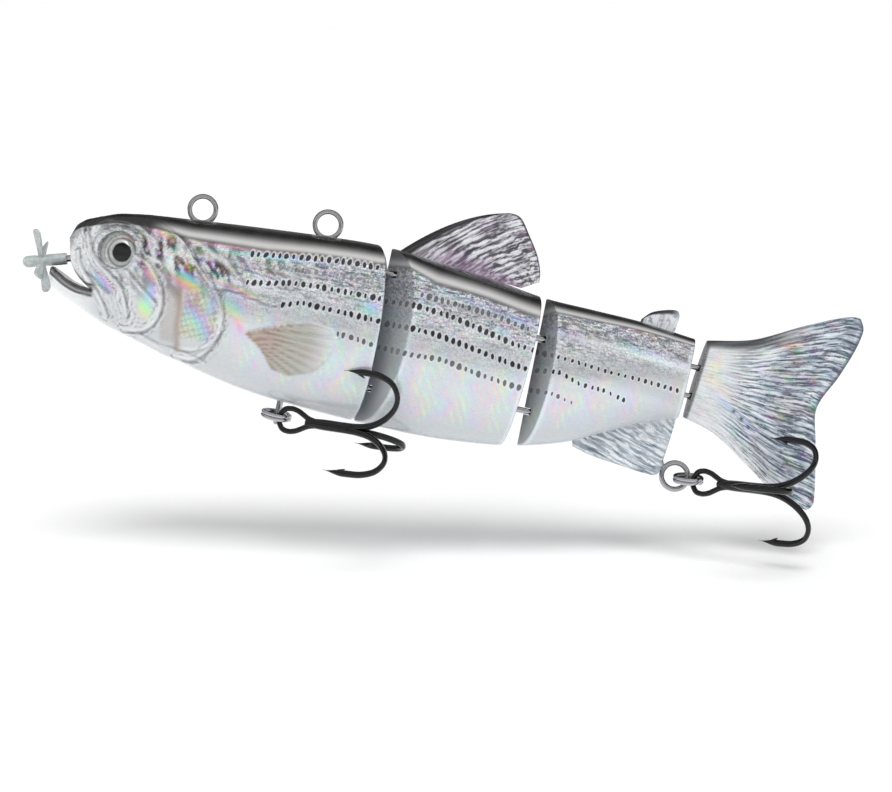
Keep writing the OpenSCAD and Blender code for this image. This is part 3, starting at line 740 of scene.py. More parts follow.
# Depth of the dark band below the top of the back.
BAND = [
    (-20, 0.8), (-18, 1.25), (-15.5, 1.6), (-10, 1.9), (-4.7, 2.4), (-0.5, 3.3), (3.5, 3.5),
    (11.6, 3.8), (19.5, 3.4), (28.3, 3.2), (33, 2.4), (37.6, 3.6), (45.5, 3.4), (54, 3.4),
    (56, 1.9), (62, 1.8), (69, 1.5), (78, 1.2), (82, 1.1), (92, 0.9), (104, 0.5),
]
# The band's dark tone with a painted highlight line across its lower half and a painted rim light at the
# ridge, from the ridge of the back at 0 to its lower edge at 1.
BAND_TONE_WITH_HIGHLIGHT = [
    (0, 0.24), (0.07, 0.12), (0.16, 0.03), (0.26, 0.012), (0.38, 0.03), (0.5, 0.12), (0.62, 0.3),
    (0.74, 0.5), (0.84, 0.5), (0.93, 0.22), (1, 0.05),
]
# The side's tone, from the band's lower edge at 0 to the belly at 1.
SIDE_TONE = [
    (0, 0.16), (0.05, 0.4), (0.12, 0.38), (0.25, 0.64), (0.4, 0.72), (0.6, 0.7), (0.75, 0.68), (1, 0.64),
]

# Rows of dots along the sides.
DOT_ROWS = [
    [(9.1, -5.4), (12.8, -4.8), (18.3, -4.0), (24.4, -3.3), (28.7, -3.2)],
    [(13, -6.6), (20, -5.9), (28.5, -5.6)],
    [(9.8, -9.7), (12.7, -9.2), (16.5, -8.3), (20.5, -8.0), (24.6, -7.9), (35.3, -7.6),
     (40.6, -8.0), (44.9, -8.8), (50.7, -10.0), (54.2, -10.3), (60.8, -10.6), (65.3, -11.0),
     (70.9, -11.1), (77.7, -11.5)],
    [(15.7, -11.9), (18.5, -10.9), (21.2, -11.0), (25.3, -11.0), (30, -11.1), (36.1, -11.1),
     (39.2, -11.2), (43.5, -11.8), (49.0, -12.7), (53.5, -13.3), (58.7, -12.7), (62.2, -13.8),
     (65.9, -13.9), (69.9, -14.8)],
    [(24.6, -14.3), (27.4, -14.4), (30.2, -14.8), (36.1, -15.0), (41.0, -14.7), (46.5, -15.6),
     (52.9, -16.3), (58.4, -16.1), (62.0, -16.9)],
    [(35.5, -5.8), (42.3, -6.1), (47.6, -6.5), (53.0, -7.4)],
]
DOT_STRENGTH = [1.0, 0.5, 1.0, 1.0, 0.85, 0.8]

# Painted glints of foil colour as (x, z, half length, half height, tilt in degrees, hue, turns of hue,
# strength).
GLINTS = [
    (1.1, -11.9, 2.3, 0.7, -11, 0.08, 0.1, 0.8), (0.9, -10.8, 1.9, 0.55, -11, 0.52, 0.1, 0.75),
    (-4.8, -11.6, 1.4, 0.6, -35, 0.02, 0.16, 0.6), (-4.2, -14.2, 0.7, 1.5, -12, 0.62, 0.1, 0.55),
    (-4.6, -16.8, 0.9, 1.3, 20, 0.3, 0.12, 0.7), (-11.9, -14.2, 1.8, 0.5, -30, 0.66, 0.2, 0.6),
    (5.3, -14.6, 0.8, 1.6, -20, 0.62, 0.15, 0.4), (3.4, -17.2, 1.6, 1.2, -30, 0.4, 0.3, 0.3),
    (9.4, -15.2, 0.7, 2.4, 32, 0.06, 0.25, 0.5), (9.8, -11.2, 3.0, 0.45, -10, 0.1, 0.2, 0.55),
    (8.6, -13.7, 2.2, 1.3, -20, 0.5, 0.25, 0.4), (13.0, -5.0, 7.5, 0.5, 6, 0.55, 0.1, 0.75),
    (10.0, -4.4, 7.5, 0.35, 6, 0.08, 0.1, 0.75), (-4.4, -5.2, 1.8, 0.6, -14, 0.05, 0.15, 0.55),
    (28.6, -9.5, 1.4, 1.1, 0, 0.55, 0.12, 0.7), (25.5, -16.0, 0.5, 2.6, 25, 0.42, 0.15, 0.3),
    (42.5, -5.1, 6.5, 0.6, -8, 0.62, 0.08, 0.4), (50.6, -6.4, 3.2, 0.8, -8, 0.64, 0.06, 0.55),
    (36.0, -7.0, 0.5, 2.2, 0, 0.58, 0.2, 0.5), (48.5, -8.5, 1.2, 0.7, 0, 0.52, 0.1, 0.5),
    (57.5, -6.5, 3.0, 0.8, -8, 0.68, 0.08, 0.25), (70.5, -6.8, 4.5, 0.8, -6, 0.6, 0.1, 0.3),
]

# Moulded lines of the head, from the side.
CHEEK_FOLD = eased([
    (-16.2, -6.2), (-15.8, -7.7), (-14.3, -10.4), (-12.4, -12.2), (-9.6, -14.0), (-8.3, -15.6), (-7.2, -18.5),
])
MAXILLA_EDGE = eased([(-16.6, -10.5), (-15.8, -12.5), (-13.2, -15.3), (-11.5, -17.3), (-10.4, -19.2)])
MAXILLA_GROOVE = eased([(-14.5, -13.4), (-12.4, -14.4), (-10.5, -15.6)])
UNDER_EYE = eased([(-8.4, -12.0), (-6.3, -13.7), (-4.3, -15.0), (-3.2, -15.9)])
PREOPERCLE = eased([
    (-8.2, -9.2), (-5.6, -10.2), (-3.8, -12.0), (-2.5, -14.4), (-2.3, -16.7), (-3.0, -18.8), (-4.8, -20.2),
    (-7.5, -20.6),
])
GILL_BAND = eased([(-0.3, -11.4), (0.7, -15.1), (0.8, -18.4), (1.3, -21.7)])
OPERCLE = eased([
    (-3.6, -4.4), (-0.8, -6.0), (2.1, -9.0), (4.8, -11.5), (6.5, -13.8), (7.3, -16.5), (6.6, -19.8),
    (4.1, -22.6), (1, -22.9),
])
THROAT = eased([(-5.0, -20.9), (-1.6, -21.9), (1.8, -22.1), (5.6, -22.9)])
GILL_FOLD = eased([(7.6, -17.2), (6.4, -19.6), (4.2, -21.2), (1.4, -21.6)])
BROW = eased([(-15.2, -6.4), (-14.3, -5.2), (-10.6, -4.5), (-7.7, -5.3), (-5.2, -6.9)])
UPPER_LIP = eased([(-17.6, -12.3), (-16.9, -13.2), (-15.8, -14.1), (-14.4, -15.0), (-13.1, -15.8)])
LOWER_LIP = eased([
    (-21.0, -13.6), (-20.2, -13.7), (-19.2, -14.3), (-17.5, -15.2), (-15.5, -15.8), (-13.3, -15.9),
])
CHIN_LINE = eased([(-20.7, -14.6), (-19.4, -15.3), (-17.5, -16.2), (-15.4, -16.7), (-13.8, -16.4)])
LATERAL = eased([(5.1, -11.7), (9.4, -11.6), (13.1, -12.4), (14.7, -12.4)])
SHOULDER = eased([(1.5, -5.4), (6.0, -7.6), (8.6, -9.6), (9.4, -11.2)])
MOUTH_OUTLINE = [
    (-22, -8), (-18.85, -8.2), (-18.2, -9.6), (-17.75, -11.2), (-17.2, -12.5), (-16.4, -13.6),
    (-15.3, -14.6), (-13.6, -15.7), (-15.4, -15.5), (-17.6, -14.9), (-19.4, -14), (-20.4, -13.5),
    (-22, -13.3),
]
PECTORAL = [
    (10.8, -17.2), (14.1, -15.7), (18.3, -13.9), (20.6, -13.4), (24.4, -13.8), (25.3, -15.2),
    (24.8, -17.4), (24.1, -19.1), (22.2, -21.0), (18.8, -22.2), (16.0, -21.8), (14.5, -19.9),
    (13.1, -18.6),
]
PECTORAL_RAYS = 62


def pectoral_ray(x, z):
    """Which ray of the side fin a point is on, and how far out along it."""
    dx, dz = x - 9.0, z + 16.6
    return np.arctan2(-dz, dx), np.hypot(dx, dz)


def edge_depth(outline, x, z):
    """How far inside an outline each point is, or 0 outside."""
    near, _ = polyline_distance(outline + outline[:1], x, z)
    return np.where(inside(outline, x, z), near, 0.0)


def ripples(points, x, z, reach, step, seed):
    """Fine wrinkles that follow a moulded line, dying away from it."""
    near, signed = polyline_distance(points, x, z)
    phase = signed / step + 0.8 * cloud(x, 0 * x, z, 1.6, seed, 2)
    return np.sin(2 * math.pi * phase) * np.exp(-near / reach) * between(0.15, 0.6, near)


def head_ripples(x, z):
    total = 0
    for points, reach, step, seed in [
        (CHEEK_FOLD, 1.4, 0.75, 41), (PREOPERCLE, 1.0, 0.7, 43), (OPERCLE, 1.1, 0.8, 45),
        (MAXILLA_EDGE, 0.8, 0.6, 47),
    ]:
        total = total + ripples(points, x, z, reach, step, seed)
    return total


def head_relief(x, z):
    """Height of the moulded detail over the head's smooth skin."""
    h = 0.07 * head_ripples(x, z)
    for points, height, width in [
        (CHEEK_FOLD, 0.2, 0.3), (MAXILLA_EDGE, 0.2, 0.28), (UNDER_EYE, 0.16, 0.25), (THROAT, 0.14, 0.25),
        (GILL_FOLD, 0.16, 0.28), (BROW, 0.18, 0.4), (UPPER_LIP, 0.2, 0.35), (CHIN_LINE, 0.16, 0.25),
    ]:
        near, signed = polyline_distance(points, x, z)
        h += height * bell(near, width) - 0.6 * height * bell(signed - 1.8 * width, width)
    for points, height, reach in [(PREOPERCLE, 0.32, 1.6), (OPERCLE, 0.42, 2.2)]:
        near, signed = polyline_distance(points, x, z)
        ahead = np.where(signed > 0, np.exp(-signed / reach), np.exp(-((signed / 0.22) ** 2)))
        h += height * ahead * between(6, 2, near) - 0.12 * bell(signed + 0.45, 0.3)
    for points, height in [
        (MAXILLA_GROOVE, 0.2), (LOWER_LIP, 0.1), (LATERAL, 0.12), (GILL_BAND, 0.12), (SHOULDER, 0.1),
    ]:
        near, _ = polyline_distance(points, x, z)
        h -= height * bell(near, 0.3)
    near, _ = polyline_distance(LOWER_LIP, x, z)
    h += 0.2 * bell(near - 0.45, 0.25)
    eye = np.hypot(x - EYE_AT[0], z - EYE_AT[2])
    h += 0.3 * bell(eye - 3.35, 0.38) - 0.12 * bell(eye - 4.3, 0.35)
    h += 0.05 * bell(eye - 5, 1.2) * np.sin(eye * 9)
    depth = edge_depth(PECTORAL, x, z)
    ray, out = pectoral_ray(x, z)
    ridges = np.sin(ray * PECTORAL_RAYS) * between(1, 4, out)
    h += 0.24 * smooth(depth / 0.7) + np.where(depth > 0.2, 0.07 * ridges, 0)
    return h


def row_marks(x, z):
    """Distance to the nearest row of dots, its number, and how strong it is there."""
    best = np.full(np.shape(x), 9.0)
    number = np.zeros(np.shape(x))
    strength = np.zeros(np.shape(x))
    for i, row in enumerate(DOT_ROWS):
        beyond = np.maximum(np.maximum(row[0][0] - x, x - row[-1][0]), 0)
        near = np.hypot(np.abs(z - line(row, x)), beyond * 2)
        number = np.where(near < best, i, number)
        strength = np.where(near < best, DOT_STRENGTH[i], strength)
        best = np.minimum(best, near)
    return best, number, strength


def print_skin(obj, head=False):
    """Colours a body section: dark back with a painted highlight line, silver sides with foil colours,
    painted glints and painted highlights, pale belly.
    """
    x, y, z = (vectors_of(obj, "co") / MM).T
    top, bottom = back_z(x), belly_z(x)
    depth = np.maximum(top - z, 0)
    band = line(BAND, x)
    t = depth / band
    share = np.clip((depth - band) / np.maximum(top - bottom - band, 1), 0, 1)
    mottle = cloud(x, y * 0.3, z, 2.2, 3.0)
    streak = cloud(x * 0.35, y * 0.1, z * 2.4, 1.6, 11.0)

    tone = line(SIDE_TONE, share) + 0.05 * mottle * (1 - share) + 0.08 * streak * between(0.6, 0.2, share)
    colour = np.stack([tone * 0.94, tone * 1.0, tone * 1.05], -1)

    # Slanting pastel streaks low on the sides.
    drift = cloud(x * 0.6, y * 0, z * 0.5, 2.0, 7.0)
    slant = (x + (z + 20) * 0.52) * (2 * math.pi / 1.15) + 2.6 * drift
    stripes = between(0.1, 0.9, np.sin(slant) + 0.5 * mottle)
    low = between(0.3, 0.5, share) * between(0.97, 0.8, share) * between(4, 9, x)
    tint = rainbow(x / 5.5 + 0.5 * drift + 0.1) * 0.42 + 0.5
    colour = over(colour, tint, 0.75 * low * stripes * between(-0.6, 0.1, cloud(x, y * 0, z, 3.4, 23.0)))
    # Broken foil colour high on the sides.
    high = between(0.5, 0.2, share) * between(-8, 4, x)
    colour = over(colour, rainbow(x / 17 + z / 4 + 0.4 * mottle), 0.26 * high * between(-0.1, 0.6, streak))
    colour = over(colour, (0.2, 0.2, 0.26), 0.5 * high * between(0.1, 0.7, -streak))

    # The rear trunk's dark specks, a painted white highlight under them and a painted grey shadow below that.
    rear = between(54, 56, x)
    specks = bell(depth - 3.0, 0.8) * between(-0.3, 0.4, streak + 0.6 * mottle)
    colour = over(colour, (0.1, 0.085, 0.085), 0.75 * rear * specks)
    painted_glint = rear * bell(depth - 5.0, 0.6)
    colour = over(colour, (0.97, 0.98, 1.0), 0.7 * painted_glint)
    shadow = between(5.6, 6.6, depth) * between(11.5, 9.5, depth)
    colour = over(colour, (0.42, 0.42, 0.43), 0.45 * rear * shadow)

    grain = between(0.62, 0.08, share) * (0.75 + 0.5 * between(0.3, 0.1, share))
    grain = grain * (1 - 0.6 * painted_glint) * between(0.95, 1.15, t)
    foil = 0.5 * between(0.9, 1.1, t) * between(0.95, 0.5, share)
    row_near, number, strength = row_marks(x, z)
    if head:
        colour, grain, foil = print_head(x, y, z, colour, grain, foil, share)
        strength = strength * between(7.5, 9.5, x)
    # Painted glints of foil colour, with less silver grain under them.
    for gx, gz, length, height, tilt, hue, turns, amount in GLINTS:
        u, v = tilted(x, z, gx, gz, length, height, tilt)
        wave = 0.35 * cloud(x, y * 0, z, 0.9, gx)
        fall = np.exp(-(u * u + v * v) * (1 + wave))
        tint = 0.25 + 0.7 * rainbow(hue + turns * v + 0.1 * u)
        colour = over(colour, tint, np.minimum(1.3 * amount * fall, 0.95))
        grain = grain * (1 - 0.8 * amount * fall)

    # The dark band, with its painted highlight line and painted rim light, over everything else.
    tone = line(BAND_TONE_WITH_HIGHLIGHT, t) + 0.012 * mottle
    # Towards the snout the painted highlight line fades out, leaving the band dark.
    tone = tone + (np.minimum(tone, 0.04) - tone) * between(-2, -7, x)
    dark = np.stack([tone * 1.0, tone * 0.985, tone * 0.98], -1)
    colour = over(colour, dark, between(1.12, 0.96, t))

    # A painted highlight: a pale line where the foil turns over each joint's rim.
    across = np.abs(vectors_of(obj, "normal")[:, 0])
    for face in (HEAD_REAR, FRONT_TRUNK_FRONT, FRONT_TRUNK_REAR, REAR_TRUNK_FRONT, REAR_TRUNK_REAR):
        near = np.abs(x - end_x(face, -np.abs(y), z))
        lip = bell(near - 0.3, 0.26) * between(0.85, 0.6, across) * between(1.0, 1.2, t)
        colour = over(colour, (0.8, 0.86, 0.92), 0.75 * lip)

    set_print(obj, colour, grain=np.clip(grain, 0, 1), foil=np.clip(foil, 0, 1),
              row_near=row_near, row_id=number, dotted=strength)


def print_head(x, y, z, colour, grain, foil, share):
    """The head's own print: pale snout and gill plates, dark creases, orange side fin; with painted shade and
    highlights along the creases and ripples, and painted white highlights.
    """
    face = between(9.5, 6.5, x + 0.3 * (z + 12))
    mottle = cloud(x, y, z, 1.1, 21.0)
    colour = over(colour, (0.64, 0.67, 0.68), face * (0.4 + 0.3 * between(0.3, 0.7, share)))
    grain = grain * (1 - 0.35 * face)
    snout = between(-11, -16, x)
    colour = over(colour, (0.93, 0.95, 0.96), 0.85 * snout)
    grain = grain * (1 - 0.7 * snout)
    # Dark patches behind the eye and over the gill.
    for px, pz, width, height, strength in [
        (-4.6, -7.6, 1.6, 1.0, 0.85), (0.3, -8.4, 1.5, 1.3, 0.95), (4.2, -9.3, 2.0, 1.2, 0.7),
        (-7.4, -12.4, 1.3, 0.5, 0.6), (7.6, -8.6, 2.4, 0.8, 0.6), (-6.5, -5.6, 2.4, 0.6, 0.8),
        (-1.5, -5.6, 1.6, 1.0, 0.7),
    ]:
        patch = spot(x, z, px, pz, width, height, 0)
        stain = strength * patch * between(-0.5, 0.1, mottle)
        colour = over(colour, (0.04, 0.035, 0.055), stain)
        grain = grain * (1 - 0.8 * stain)
    # Marbling: dark and light strokes that run down and back over the gill and crown.
    lean = cloud(x * 1.3 + z * 0.75, 0 * x, z * 0.5 - x * 0.2, 1.5, 51.0)
    busy = between(-10.5, -6.5, x) * between(9.5, 6, x) * between(-12.8, -10, z)
    busy = np.maximum(busy, 0.5 * between(-13, -9, x) * between(9, 7, x) * between(-17, -13, z))
    busy = np.maximum(busy, between(6, 9, x) * between(26, 12, x) * between(-8.4, -7.2, z) * 0.8)
    eye_near = np.hypot(x - EYE_AT[0], z - EYE_AT[2])
    busy = busy * between(3.2, 4.2, eye_near)
    stroke = busy * between(0.02, 0.14, lean)
    colour = over(colour, (0.02, 0.017, 0.028), 0.97 * stroke)
    colour = over(colour, (0.86, 0.84, 0.88), 0.95 * busy * between(-0.02, -0.18, lean))
    grain = grain * (1 - 0.45 * busy - 0.5 * stroke)
    colour = over(colour, (0.34, 0.2, 0.12), 0.5 * busy * between(0.2, 0.5, mottle))
    sheen = rainbow(z / 3 + x / 9 + 0.5 * lean) ** 1.4
    colour = over(colour, sheen, 0.4 * busy * between(0.15, 0.5, -mottle))
    # Fine slanting net over the gill cover.
    net = between(0.9, 1.5, x) * between(7.0, 6.2, x) * between(-20.5, -19, z) * between(-11.4, -12.4, z)
    weave = np.maximum(
        np.cos((x + z * 0.55) * 2 * math.pi / 0.85), np.cos((x * 0.45 - z) * 2 * math.pi / 0.95),
    )
    colour = over(colour, rainbow(z / 6 + x / 7 + 0.25 * mottle) ** 0.7 * 0.8, 0.35 * net)
    colour = over(colour, (0.22, 0.24, 0.36), 0.6 * net * between(0.35, 0.95, weave))
    # Brownish gill plate ahead of the band.
    plate = between(-4.1, -3.3, x + 0.1 * z) * between(1.0, 0.4, x)
    plate = plate * between(-21.5, -20.5, z) * between(-12, -13.5, z)
    colour = over(colour, (0.44, 0.4, 0.38), 0.6 * plate)
    # Painted shade and highlights on the ripples: dark where they rise, light where they sink.
    ripple_shading = head_ripples(x, z)
    colour = over(colour, (0.14, 0.13, 0.17), 0.75 * between(0.15, 0.6, ripple_shading))
    colour = over(colour, (0.92, 0.93, 0.95), 0.6 * between(-0.15, -0.6, ripple_shading))
    # Painted white highlights over the shoulder, the gill and the snout.
    for px, pz, width, height, strength in [
        (6.2, -7.2, 3.4, 0.55, 0.8), (15.5, -7.0, 5.0, 0.4, 0.5), (-2.6, -9.4, 0.7, 1.6, 0.7),
        (-1.0, -6.6, 0.6, 1.0, 0.7), (2.4, -7.4, 1.0, 0.45, 0.7), (-5.2, -9.6, 1.2, 0.4, 0.6),
        (-14.6, -7.4, 0.8, 1.6, 0.7), (12.0, -10.4, 3.0, 0.6, 0.5),
    ]:
        patch = np.exp(-(((x - px) / width) ** 2) - ((z - pz + 0.12 * (x - px)) / height) ** 2)
        colour = over(colour, (0.97, 0.98, 1.0), strength * patch * between(-0.7, 0.0, mottle))
        grain = grain * (1 - 0.7 * strength * patch)
    # Dark brow between the crown and the eye.
    brow = np.exp(-(((x + 10.2) / 4.2) ** 2) - ((z + 5.0 - 0.12 * (x + 10)) / 0.75) ** 2)
    colour = over(colour, (0.05, 0.04, 0.05), 0.85 * brow * between(-0.7, 0.1, mottle))
    # Creases with painted shade and painted highlights: dark on one side of each moulded line and light on
    # the other.
    uneven = 0.75 + 0.5 * cloud(x, 0 * x, z, 1.4, 61.0)
    for points, width, dark, light in [
        (CHEEK_FOLD, 0.2, 0.85, 0.7), (MAXILLA_EDGE, 0.2, 0.85, 0.8), (UNDER_EYE, 0.2, 0.9, 0.8),
        (PREOPERCLE, 0.2, 0.8, 0.9), (OPERCLE, 0.22, 0.7, 0.9), (THROAT, 0.18, 0.6, 0.5),
        (GILL_FOLD, 0.22, 0.5, 0.5), (BROW, 0.35, 0.95, 0.6), (SHOULDER, 0.3, 0.7, 0.7),
    ]:
        near, signed = polyline_distance(points, x, z)
        colour = over(colour, (0.93, 0.94, 0.96), uneven * light * bell(signed, width))
        colour = over(colour, (0.08, 0.08, 0.1), uneven * dark * bell(signed + 1.9 * width, width))
    for points, width, tint, strength in [
        (MAXILLA_GROOVE, 0.3, (0.16, 0.1, 0.25), 0.75), (GILL_BAND, 0.5, (0.3, 0.17, 0.08), 0.6),
        (UPPER_LIP, 0.24, (0.02, 0.02, 0.02), 0.95),
        (CHIN_LINE, 0.13, (0.05, 0.05, 0.05), 0.7), (LATERAL, 0.22, (0.1, 0.12, 0.16), 0.8),
    ]:
        near, _ = polyline_distance(points, x, z)
        colour = over(colour, tint, strength * bell(near, width))
    # Black lower lip, with a painted highlight as a grey line along its roll.
    near, _ = polyline_distance(LOWER_LIP, x, z)
    lip = between(1.15, 0.85, near) * between(-12.6, -13.4, x)
    colour = over(colour, (0.02, 0.02, 0.022), 0.96 * lip)
    colour = over(colour, (0.5, 0.5, 0.52), 0.7 * lip * bell(near - 0.5, 0.14))
    grain = grain * (1 - lip)
    # Nostril.
    colour = over(colour, (0.03, 0.03, 0.035), 0.95 * bell(np.hypot(x + 16.2, (z + 7.1) * 1.3), 0.4))
    # Side fin: orange-brown at its root and upper edge, fading to silver, with pale rays.
    depth = edge_depth(PECTORAL, x, z)
    ray, out = pectoral_ray(x, z)
    fin = between(0.02, 0.2, depth)
    stripes = 0.5 + 0.5 * np.sin(ray * PECTORAL_RAYS)
    web = over((0.27, 0.15, 0.08), (0.33, 0.34, 0.28), between(3, 11, out))
    web = over(web, (0.5, 0.24, 0.24), 0.6 * between(-0.3, 0.6, mottle) * between(9, 3, out))
    web = over(web, (0.62, 0.58, 0.52), 0.45 * stripes)
    web = over(web, (0.2, 0.13, 0.1), 0.6 * between(0.25, 0.0, stripes) * between(14, 8, out))
    colour = over(colour, web, 0.9 * fin * between(16.5, 11, out))
    colour = over(colour, (0.36, 0.24, 0.12), 0.8 * fin * bell(depth, 0.3) * between(10, 6, out))
    grain = grain * (1 - 0.8 * fin)
    foil = foil * (1 - 0.6 * fin)
    return colour, grain, foil


# ---------- body sections ----------


def pushed(face, by):
    return (face[0] + by, face[1], face[2])


def rim_steps(radius, count=4):
    """(distance from the end face, inset) down a rounded rim, skin first."""
    turns = [math.pi / 2 * k / count for k in range(count + 1)]
    return [(radius * (1 - math.sin(t)), radius * (1 - math.cos(t))) for t in turns]


SECTION_MATERIALS = [SKIN, SHADED_END_SKIN, HOLLOW, MOUTH]
OUTSIDE, END_FACE, INSIDE, MOUTH_LINING = range(4)
SECTION_CREASE = 35


def half_section(name, front, rear, blocks, rows, around, rims, ease=1, relief=None):
    """Left half of one hollow section: outer skin with rounded rims, flat end faces, a cavity
    that starts a block's length in from each end, and the flat seam on the centre plane.

    Rows are closer together at the front where ease is over 1.
    """
    length = rear[0] - front[0]
    angles = np.linspace(-math.pi / 2, math.pi / 2, around + 1)
    front_rim, rear_rim = rims
    rings = []
    if front_rim:
        rings += [(d / length, inset) for d, inset in reversed(rim_steps(front_rim))]
    start = front_rim / length
    stop = 1 - rear_rim / length
    shares = (np.arange(rows + 1) / rows) ** ease
    body = [(start + (stop - start) * s, 0.0) for s in shares]
    rings += body[1:] if front_rim else body
    if rear_rim:
        rings = rings[:-1] + [(1 - d / length, inset) for d, inset in rim_steps(rear_rim)]
    u, inset = (np.array(v)[:, None] + np.zeros_like(angles) for v in zip(*rings))
    a = angles[None, :] + np.zeros_like(u)
    outer = skin_points(front, rear, u, a, inset)
    if relief is not None:
        along = np.gradient(outer, axis=0)
        across = np.gradient(outer, axis=1)
        normals = np.cross(across, along)
        normals /= np.linalg.norm(normals, axis=-1)[..., None] + 1e-12
        normals *= np.sign(np.sum(normals * (outer - [0, 0, -12]) * [0, 1, 1], -1))[..., None]
        fade = between(math.pi / 2, math.pi / 2 - 0.12, np.abs(a))
        fade = fade * between(0, 0.012, 1 - u) * between(0, 0.01, u)
        outer = outer + normals * (relief(outer[..., 0], outer[..., 2]) * fade)[..., None]
    outer[:, 0, 1] = outer[:, -1, 1] = 0
    n_rings, n_around = outer.shape[:2]

    points = list(outer.reshape(-1, 3))
    faces = grid_faces(n_rings, n_around)
    indices = [OUTSIDE] * len(faces)

    # Flat end faces, in strips from the skin to the centre plane.
    def end_face(ring, face):
        columns = 8
        ids = np.empty((n_around, columns + 1), int)
        for j in range(n_around):
            _, y, z = outer[ring, j]
            ids[j, 0] = ring * n_around + j
            for k in range(1, columns + 1):
                if j in (0, n_around - 1):
                    ids[j, k] = ids[j, 0]
                    continue
                yk = y * (1 - k / columns)
                ids[j, k] = len(points)
                points.append((end_x(face, yk, z), yk, z))
        for j in range(n_around - 1):
            for k in range(columns):
                loop = [ids[j, k], ids[j, k + 1], ids[j + 1, k + 1], ids[j + 1, k]]
                loop = [v for i, v in enumerate(loop) if v != loop[i - 1]]
                if len(loop) > 2:
                    faces.append(tuple(loop))
                    indices.append(END_FACE)
        return list(ids[:, columns])

    front_block, rear_block = blocks
    front_centre = end_face(0, front)
    rear_centre = end_face(n_rings - 1, rear)

    # The cavity, coarser, with flat ends.
    inner_rows, inner_around = 26, 20
    inner_front, inner_rear = pushed(front, front_block), pushed(rear, -rear_block)
    iu = (np.arange(inner_rows + 1) / inner_rows)[:, None] + np.zeros(inner_around + 1)
    ia = np.linspace(-math.pi / 2, math.pi / 2, inner_around + 1)[None, :] + np.zeros_like(iu)
    inner = skin_points(inner_front, inner_rear, iu, ia, WALL)
    inner[:, 0, 1] = inner[:, -1, 1] = 0
    base = len(points)
    points.extend(inner.reshape(-1, 3))
    m = inner_around + 1
    inner_faces = grid_faces(inner_rows + 1, m, base, flip=True)
    inner_faces.append(tuple(base + j for j in range(m)))
    inner_faces.append(tuple(base + inner_rows * m + j for j in reversed(range(m))))
    faces += inner_faces
    indices += [INSIDE] * len(inner_faces)

    # The seam: the centre plane between the outline and the cavity.
    ring_low = [i * n_around for i in range(n_rings)]
    ring_high = [i * n_around + n_around - 1 for i in range(n_rings)]
    outline = ring_low + rear_centre[1:-1] + ring_high[::-1] + front_centre[1:-1][::-1]
    hole = [base + i * m for i in range(inner_rows + 1)]
    hole += [base + i * m + m - 1 for i in reversed(range(inner_rows + 1))]
    loops = [[Vector((points[i][0], points[i][2], 0)) for i in ids] for ids in (outline, hole)]
    flat_ids = outline + hole
    for triangle in tessellate_polygon(loops):
        faces.append(tuple(flat_ids[i] for i in triangle))
        indices.append(INSIDE)
    return new_object(name, points, faces, SECTION_MATERIALS, SECTION_CREASE, indices)


def prism(name, outline, low, high, axis, index):
    """A closed cutter: an outline pushed from low to high along Y or Z."""
    n = len(outline)
    points = []
    for level in (low, high):
        for a, b in outline:
            points.append((a, level, b) if axis == "Y" else (a, b, level))
    faces = [tuple(range(n)), tuple(range(2 * n - 1, n - 1, -1))]
    faces += [(i, (i + 1) % n, n + (i + 1) % n, n + i) for i in range(n)]
    return new_object(name, points, faces, SECTION_MATERIALS, indices=[index] * len(faces))


def cut_link_slots(obj, pivot, levels, room, spread):
    """Slots for a joint's wire loops: round behind the hinge pin, and flared towards the gap."""
    gap = pivot - 4
    arc = [math.radians(-90 + 180 * k / 14) for k in range(15)]
    outline = [(gap, -room - spread)]
    outline += [(pivot + room * math.cos(t), room * math.sin(t)) for t in arc]
    outline += [(gap, room + spread)]
    for level in levels:
        cut(obj, prism("slot", outline, level - SLOT_HEIGHT / 2, level + SLOT_HEIGHT / 2, "Z", INSIDE))


def lathe_cutter(profile, place, index):
    cutter = lathe("bore", profile, SECTION_MATERIALS, place, around=40)
    cutter.data.polygons.foreach_set("material_index", [index] * len(cutter.data.polygons))
    return cutter


def finish_section(left, right_name, body, replaced, head=False):
    """Shades and prints the left half, makes its right twin, and ties both to the frame."""
    mesh_work(left, drop_slivers)
    shade(left, SECTION_CREASE)
    print_skin(left, head)
    right = mirrored_copy(left, right_name)
    for piece, node in zip((left, right), replaced):
        attach(piece, body, [node])


FRONT_TRUNK_NODES = ("front_trunk_left", "front_trunk_right")
REAR_TRUNK_NODES = ("rear_trunk_left", "rear_trunk_right")


def build_head():
    left = half_section(
        "head_skin_left", NOSE_END, HEAD_REAR, (9.3, 2.8), 230, 120, (0, 0.3),
        ease=1.35, relief=head_relief,
    )
    socket = [(0, -EYE_DEPTH), (EYE_R + 0.02, -EYE_DEPTH), (EYE_R + 0.02, 6), (0, 6)]
    cut(left, lathe_cutter(socket, EYE_PLACE, OUTSIDE))
    cut(left, prism("mouth", MOUTH_OUTLINE, -12, 0.5, "Y", MOUTH_LINING))
    bore = [(0, -10), (1.37, -10), (1.37, 4), (1.9, 4), (1.9, 5), (1.6, 5), (1.6, 9), (0, 9)]
    cut(left, lathe_cutter(bore, SHAFT_PLACE, INSIDE))
    finish_section(left, "head_skin_right", "head", ("head_shell_left", "head_shell_right"), head=True)


